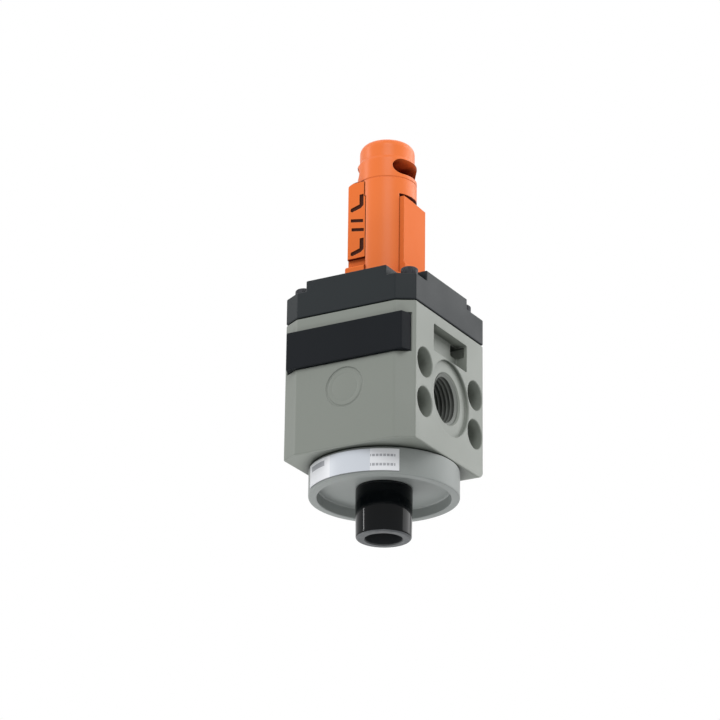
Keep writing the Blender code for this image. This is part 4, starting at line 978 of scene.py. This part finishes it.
# The locking tab stands up from the back wall, with the eye that the padlock's shackle goes through.
TAB_HALF = 0.0015
PAST_TAB = 0.0030
TAB_EYE_RADIUS = 0.0035
TAB_EYE_BACK = 0.0020
tab = [
    (0.0062, 0.12175),
    (0.01125, 0.12175),
    (0.01125, 0.14225),
    (0.0102, 0.14375),
    (0.0102, 0.16275),
    (0.0087, 0.16425),
    (-0.0022, 0.16425),
    (-0.0037, 0.16275),
    (-0.0037, 0.15435),
    (-0.0022, 0.15285),
    (0.0062, 0.15285),
]
boolean(guard, slab("locking_tab", tab, -TAB_HALF, TAB_HALF, "X"), "UNION")
eye = [(0, -PAST_TAB), (TAB_EYE_RADIUS, -PAST_TAB), (TAB_EYE_RADIUS, PAST_TAB), (0, PAST_TAB)]
cut_away(guard, turned("tab_eye", eye, 48, "X", (0, TAB_EYE_BACK, SLOT_HEIGHT)))

# The post's marks, engraved 0.35 mm deep. Each outline is measured from its own first corner.
MARK_FLOOR = -0.01165
MARK_FIELD = (-0.0108, -0.0036)
hook_mark = [
    (0.0, 0.0),
    (0.0019, 0.0),
    (0.0019, -0.0050),
    (0.0005, -0.0062),
    (-0.0035, -0.0073),
    (-0.0043, -0.0066),
    (-0.0040, -0.0056),
    (0.0, -0.0044),
]
bar_mark = [(0.0, 0.0), (0.0058, -0.0010), (0.0058, 0.0004), (0.0, 0.0014)]
for mark, x, z in (
    (hook_mark, -0.0062, 0.1470),
    (bar_mark, -0.0102, 0.1353),
    (bar_mark, -0.0098, 0.1312),
    (hook_mark, -0.0059, 0.1273),
):
    outline = [(x + sideways, z + rise) for sideways, rise in mark]
    cut_away(guard, slab("mark", outline, -GUARD_HALF - 0.0005, MARK_FLOOR, "Y"))
mend(guard)
# (122, 36, 26) darkens hollows as dust and painted shade; (84, 18, 16) is painted shade under overhangs.
orange = finish(
    "orange_plastic", (254, 132, 68), 0.5, (250, 124, 60), (252, 152, 96), (122, 36, 26), 2200, 0.00002,
    edge_width=0.0003, dust_and_shade_share=0.8, overhang_shade=(84, 18, 16), specular=0.05, reach=0.007,
)
guard.data.materials.append(orange)
filled = finish(
    "mark_filler", (66, 30, 20), 0.6, (74, 36, 24), (90, 44, 30), (50, 22, 16), 2200, 0.00002,
    specular=0.1,
)
guard.data.materials.append(filled)
for polygon in guard.data.polygons:
    centre = polygon.center
    in_post = MARK_FIELD[0] < centre.x < MARK_FIELD[1] and centre.z > UNDERCUT_TOP
    if in_post and -GUARD_HALF + 0.0001 < centre.y < MARK_FLOOR + 0.0001:
        polygon.material_index = 1
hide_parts("lock_guard")
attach(guard, "housing")

# Lock knob. An orange moulding that slides in the guard: keyed column, collar with a moulded
# line, domed head and the slot for the padlock's shackle. A steel pin ties it to the stem.
COLLAR_FOOT = 0.14615
COLLAR_LINE = 0.15335
HEAD_FOOT = 0.16275
KNOB_TOP = 0.17175
COLUMN_FOOT = 0.10395
KEY_FOOT = 0.10945
HEAD_ROUND = 0.0038
KEY_RADIUS = 0.01235
HEAD_RADIUS = 0.0114
COLUMN_RADIUS = 0.0102
WINDOW_LEFT = 0.0032
WINDOW_BACK = 0.0073
SLOT_RADIUS = 0.0034
SLOT_END = 0.0061
CHANNEL_HALF = 0.0018
CHANNEL_TOP = 0.16455
CHANNEL_STEP = 0.13755
CHANNEL_FRONT = -0.0040
CHANNEL_FLOOR = 0.0059
STEM_SOCKET_RADIUS = 0.0038
STEM_SOCKET_TOP = 0.12145
PIN_RADIUS = 0.0016
dome = arc(HEAD_ROUND, 90, 0, 12, (HEAD_RADIUS - HEAD_ROUND, KNOB_TOP - HEAD_ROUND))
knob_profile = [(0, KNOB_TOP)] + dome + [
    (HEAD_RADIUS, HEAD_FOOT + 0.0009),
    (HEAD_RADIUS + 0.0002, HEAD_FOOT + 0.0004),
    (KEY_RADIUS - 0.0003, HEAD_FOOT - 0.0004),
    (KEY_RADIUS, HEAD_FOOT - 0.0009),
    (KEY_RADIUS, COLLAR_LINE + 0.0004),
    (KEY_RADIUS - 0.0002, COLLAR_LINE + 0.0001),
    (KEY_RADIUS - 0.0002, COLLAR_LINE - 0.0001),
    (KEY_RADIUS, COLLAR_LINE - 0.0004),
    (KEY_RADIUS, KEY_FOOT),
    (COLUMN_RADIUS - 0.0003, KEY_FOOT),
    (COLUMN_RADIUS - 0.0003, COLUMN_FOOT),
    (0, COLUMN_FOOT),
]
knob = turned("knob_moulding", knob_profile, 96)

# The column is cut back all round but for the key, which keeps the full radius and fills the
# guard's window.
past_key = KEY_RADIUS * 1.2
limits = []
for radius in (past_key, COLUMN_RADIUS):
    start = math.degrees(math.atan2(-WINDOW_BACK, math.sqrt(radius ** 2 - WINDOW_BACK ** 2)))
    end = math.degrees(math.atan2(-math.sqrt(radius ** 2 - WINDOW_LEFT ** 2), -WINDOW_LEFT)) + 360
    limits.append((start, end))
relief = arc(past_key, *limits[0], 60) + arc(COLUMN_RADIUS, limits[1][1], limits[1][0], 72)
cut_away(knob, slab("column_relief", relief, KEY_FOOT - OVERSHOOT, COLLAR_FOOT))
slot_back = arc(SLOT_RADIUS, -90, 90, 16, (SLOT_END, SLOT_HEIGHT))
slot_front = arc(SLOT_RADIUS, 90, 270, 16, (-SLOT_END, SLOT_HEIGHT))
cut_away(knob, slab("padlock_slot", slot_back + slot_front, -OUTSIDE, OUTSIDE, "X"))
under_column = COLUMN_FOOT - OVERSHOOT
channel = [
    (CHANNEL_FLOOR, under_column),
    (OUTSIDE, under_column),
    (OUTSIDE, CHANNEL_TOP),
    (CHANNEL_FRONT, CHANNEL_TOP),
    (CHANNEL_FRONT, CHANNEL_STEP),
    (CHANNEL_FLOOR, CHANNEL_STEP),
]
cut_away(knob, slab("tab_channel", channel, -CHANNEL_HALF, CHANNEL_HALF, "X"))
stem_socket = [
    (0, under_column),
    (STEM_SOCKET_RADIUS, under_column),
    (STEM_SOCKET_RADIUS, STEM_SOCKET_TOP),
    (0, STEM_SOCKET_TOP),
]
cut_away(knob, turned("stem_socket", stem_socket, 40))
pin_hole = [(0, -OUTSIDE), (PIN_RADIUS, -OUTSIDE), (PIN_RADIUS, OUTSIDE), (0, OUTSIDE)]
cut_away(knob, turned("pin_hole", pin_hole, 24, "X", (0, 0, PIN_HEIGHT)))
mend(knob)
# (104, 24, 18): dust and painted shade in the slot and other hollows; (84, 18, 16): painted shade under
# overhangs.
handled_orange = finish(
    "handled_orange_plastic", (255, 134, 68), 0.34, (254, 127, 60), (253, 154, 98), (104, 24, 18),
    2200, 0.00002, edge_width=0.0003, dust_and_shade_share=1.0, overhang_shade=(84, 18, 16), specular=0.26, reach=0.008,
)
knob.data.materials.append(handled_orange)
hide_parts("lock_knob")
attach(knob, "plunger")

# Bottom flange. A round grey-painted casting screwed into the body by its spigot, hollow below,
# with a raised rim and a seat for the exhaust fitting.
FLANGE_RADIUS = 0.0304
FLANGE_LOW = 0.01695
FLANGE_HIGH = 0.02855
FLANGE_SPIGOT_RADIUS = 0.0230
FLANGE_SPIGOT_TOP = 0.03605
FLANGE_SEAL_RADIUS = 0.0214
FLANGE_SEAL = (0.0319, 0.03405)
CHAMBER_RADIUS = 0.0155
CHAMBER_FLOOR = 0.02485
RIM_INSIDE = 0.0270
HOLLOW_CEILING = 0.02135
FITTING_SEAL_RADIUS = 0.0109
FITTING_SEAL_TOP = 0.02215
NECK_HOLE_RADIUS = 0.0093
flange_profile = [
    (CHAMBER_RADIUS, FLANGE_SPIGOT_TOP),
    (FLANGE_SPIGOT_RADIUS - 0.0006, FLANGE_SPIGOT_TOP),
    (FLANGE_SPIGOT_RADIUS, FLANGE_SPIGOT_TOP - 0.0006),
    (FLANGE_SPIGOT_RADIUS, FLANGE_SEAL[1]),
    (FLANGE_SEAL_RADIUS, FLANGE_SEAL[1]),
    (FLANGE_SEAL_RADIUS, FLANGE_SEAL[0]),
    (FLANGE_SPIGOT_RADIUS, FLANGE_SEAL[0]),
    (FLANGE_SPIGOT_RADIUS, FLANGE_HIGH),
    (FLANGE_RADIUS - 0.0006, FLANGE_HIGH),
    (FLANGE_RADIUS - 0.0002, FLANGE_HIGH - 0.00012),
    (FLANGE_RADIUS, FLANGE_HIGH - 0.0006),
    (FLANGE_RADIUS, FLANGE_LOW + 0.0006),
    (FLANGE_RADIUS - 0.0002, FLANGE_LOW + 0.0002),
    (FLANGE_RADIUS - 0.0006, FLANGE_LOW),
    (RIM_INSIDE + 0.0003, FLANGE_LOW),
    (RIM_INSIDE, FLANGE_LOW + 0.0002),
    (RIM_INSIDE - 0.0001, FLANGE_LOW + 0.0006),
    (RIM_INSIDE - 0.0003, HOLLOW_CEILING - 0.0003),
    (RIM_INSIDE - 0.0007, HOLLOW_CEILING),
    (FITTING_SEAL_RADIUS, HOLLOW_CEILING),
    (FITTING_SEAL_RADIUS, FITTING_SEAL_TOP),
    (NECK_HOLE_RADIUS, FITTING_SEAL_TOP),
    (NECK_HOLE_RADIUS, CHAMBER_FLOOR),
    (CHAMBER_RADIUS, CHAMBER_FLOOR),
]
flange = turned("flange_casting", flange_profile, 128, closed=True)
mend(flange)
flange_paint = finish(
    "flange_paint", (149, 154, 152), 0.46, (143, 148, 146), (176, 180, 177), (118, 123, 116), 1800, 0.00003,
    dust_and_shade_share=0.0, specular=0.35,
)
flange.data.materials.append(flange_paint)
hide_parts("bottom_flange")
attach(flange, "housing")

# Label. A silvery film wrapped round the front of the flange, with a white field near each end
# that holds only short grey rules where the real one is printed.
LABEL_START = -134.0
LABEL_SWEEP = 84.5
LABEL_LOW = 0.01835
LABEL_HIGH = 0.02755
LABEL_INSIDE = 0.0306
LABEL_OUTSIDE = 0.0308
LEFT_FIELD = (-134.5, -105.0)
RIGHT_FIELD = (-71.2, -45.0)
LEFT_RULE = (-129.5, -111.0)
LEFT_RULE_ROW = (0.0240, 0.0262)
RIGHT_RULES = (-71.0, -52.5)
UPPER_ROW = (0.0242, 0.0252)
LOWER_ROW = (0.0203, 0.0214)
DASHES_PER_DEGREE = 0.37
DASH_GAP = 0.24
INK_SHARE = 0.62
start = math.radians(LABEL_START)
ahead = Vector((math.cos(start), math.sin(start), 0))
label_section = [
    (LABEL_INSIDE, LABEL_LOW),
    (LABEL_OUTSIDE, LABEL_LOW),
    (LABEL_OUTSIDE, LABEL_HIGH),
    (LABEL_INSIDE, LABEL_HIGH),
    (LABEL_INSIDE, LABEL_LOW),
]
label = draw_line("label_band", [ahead * radius + Vector((0, 0, z)) for radius, z in label_section])
bpy.ops.mesh.select_all(action="SELECT")
bpy.ops.mesh.spin(steps=40, angle=-math.radians(LABEL_SWEEP), center=(0, 0, 0), axis=(0, 0, 1))
bpy.ops.mesh.select_all(action="SELECT")
bpy.ops.mesh.remove_doubles(threshold=MERGE_DISTANCE)
bpy.ops.mesh.fill_holes(sides=0)
close_up(label)
mend(label)
film = finish(
    "label_film", (222, 227, 234), 0.36, (211, 217, 226), (228, 232, 236), (186, 191, 198), 900, 0.00001,
    edge_share=0.3, dust_and_shade_share=0.3,
)
label.data.materials.append(film)
tree = film.node_tree
shader = tree.nodes["Principled BSDF"]
place = tree.nodes.new("ShaderNodeTexCoord")
apart = tree.nodes.new("ShaderNodeSeparateXYZ")
tree.links.new(place.outputs["Object"], apart.inputs[0])


def reckon(operation, *values):
    """One sum in the film's node tree, from sockets and numbers."""
    sums = tree.nodes.new("ShaderNodeMath")
    sums.operation = operation
    for socket, value in zip(sums.inputs, values):
        if isinstance(value, bpy.types.NodeSocket):
            tree.links.new(value, socket)
        else:
            socket.default_value = value
    return sums.outputs[0]


def between(value, low, high):
    """One where the value lies between two limits, else nought."""
    return reckon("MULTIPLY", reckon("GREATER_THAN", value, low), reckon("LESS_THAN", value, high))


bearing = reckon("DEGREES", reckon("ARCTAN2", apart.outputs["Y"], apart.outputs["X"]))
height = apart.outputs["Z"]
fields = reckon("ADD", between(bearing, *LEFT_FIELD), between(bearing, *RIGHT_FIELD))
along_dash = reckon("FRACT", reckon("MULTIPLY", bearing, DASHES_PER_DEGREE))
dashes = reckon("GREATER_THAN", along_dash, DASH_GAP)
rows = reckon("ADD", between(height, *UPPER_ROW), between(height, *LOWER_ROW))
right_rules = reckon("MULTIPLY", reckon("MULTIPLY", rows, dashes), between(bearing, *RIGHT_RULES))
left_rule = reckon("MULTIPLY", between(height, *LEFT_RULE_ROW), between(bearing, *LEFT_RULE))
printed = reckon("MULTIPLY", reckon("ADD", right_rules, left_rule), INK_SHARE)
colour = shader.inputs["Base Color"].links[0].from_socket
for mask, value in ((fields, (239, 241, 245)), (printed, (88, 92, 104))):
    both = tree.nodes.new("ShaderNodeMix")
    both.data_type = "RGBA"
    tree.links.new(mask, both.inputs["Factor"])
    tree.links.new(colour, both.inputs["A"])
    both.inputs["B"].default_value = tint(value)
    colour = both.outputs["Result"]
tree.links.new(colour, shader.inputs["Base Color"])
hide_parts("flange_label")
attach(label, "housing")

# Exhaust fitting. A glossy black moulding screwed up into the flange, slightly tapered, with a
# rounded lip painted light grey as a highlight, a matt bore and a sintered bronze disc inside that
# muffles the exhaust.
NECK_RADIUS = 0.0090
NECK_TOP = 0.02455
FITTING_RADIUS = 0.01155
FITTING_SHOULDER = 0.02105
LIP_RADIUS = 0.01125
LIP_ROUND = 0.0012
MOUTH_RADIUS = 0.0075
SILENCER_RADIUS = 0.0080
SILENCER_SEAT = 0.0140
fitting_profile = [
    (SILENCER_RADIUS, NECK_TOP),
    (NECK_RADIUS - 0.0003, NECK_TOP),
    (NECK_RADIUS, NECK_TOP - 0.0003),
    (NECK_RADIUS, FITTING_SHOULDER),
    (FITTING_RADIUS - 0.0004, FITTING_SHOULDER),
    (FITTING_RADIUS, FITTING_SHOULDER - 0.0004),
    (FITTING_RADIUS, FLANGE_LOW),
] + arc(LIP_ROUND, 0, -90, 8, (LIP_RADIUS - LIP_ROUND, LIP_ROUND)) + [
    (MOUTH_RADIUS + 0.0004, 0.0),
    (MOUTH_RADIUS, 0.0004),
    (MOUTH_RADIUS, SILENCER_SEAT),
    (SILENCER_RADIUS, SILENCER_SEAT),
]
fitting = turned("fitting_moulding", fitting_profile, 96, closed=True)
mend(fitting)
# (104, 108, 111) at edge share 0.9 is a painted highlight on the lip's rounding and the other edges.
gloss_black = finish(
    "gloss_black_plastic", (3, 6, 9), 0.07, (4, 8, 11), (104, 108, 111), (6, 7, 8), 700, 0.000004,
    edge_share=0.9, edge_width=0.0007, specular=0.15,
)
fitting.data.materials.append(gloss_black)
matt_black = finish(
    "matt_black_plastic", (40, 44, 47), 0.5, (30, 33, 36), (92, 96, 99), (24, 26, 28), 900, 0.00002,
    patches=400.0,
)
fitting.data.materials.append(matt_black)
# Light grey for the lip's underside: a painted highlight where light from below falls.
painted_lip_highlight = finish(
    "black_plastic_painted_highlight", (104, 108, 111), 0.45, (60, 64, 67), (124, 128, 131), (50, 53, 56),
    900, 0.00002, patches=500.0,
)
fitting.data.materials.append(painted_lip_highlight)
for polygon in fitting.data.polygons:
    centre = polygon.center
    in_mouth = math.hypot(centre.x, centre.y) < MOUTH_RADIUS + 0.0003
    if in_mouth and centre.z < SILENCER_SEAT + 0.0001:
        polygon.material_index = 1
    # Faces at the foot of the lip get the painted highlight.
    elif centre.z < LIP_ROUND / 2:
        polygon.material_index = 2
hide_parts("exhaust_fitting")
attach(fitting, "housing")

# Inner pieces. Sleeve, spool, stem, bush and seals keep their CAD shapes and get their metals
# and rubber.
brass = finish(
    "machined_brass", (190, 160, 92), 0.3, (178, 146, 80), (214, 190, 132), (120, 98, 58), 2600, 0.00001,
    metallic=1.0,
)
bronze = finish(
    "sintered_bronze", (150, 118, 78), 0.6, (128, 98, 62), (172, 142, 100), (80, 62, 42), 1600, 0.0002,
    metallic=0.8,
)
steel = finish(
    "bright_steel", (176, 178, 180), 0.28, (162, 164, 166), (206, 208, 210), (110, 112, 112), 3000, 0.00001,
    metallic=1.0,
)
rubber = finish("black_rubber", (30, 30, 31), 0.7, (36, 36, 37), (48, 48, 49), (22, 22, 22), 2400, 0.00003)
kept = {
    brass: ["valve_cage", "spool"],
    bronze: ["stem_bush", "silencer_disc"],
    steel: ["stem", "stem_nut", "knob_pin"] + [f"guard_screw_{number}" for number in range(1, 5)],
    rubber: [
        "cap_gasket", "stem_seal", "flange_seal", "fitting_seal",
        "cage_seal_1", "cage_seal_2", "cage_seal_3", "spool_seal_1", "spool_seal_2",
    ],
}
for surface, names in kept.items():
    for name in names:
        for place in nodes[name].material_slots:
            place.material = surface

alone()
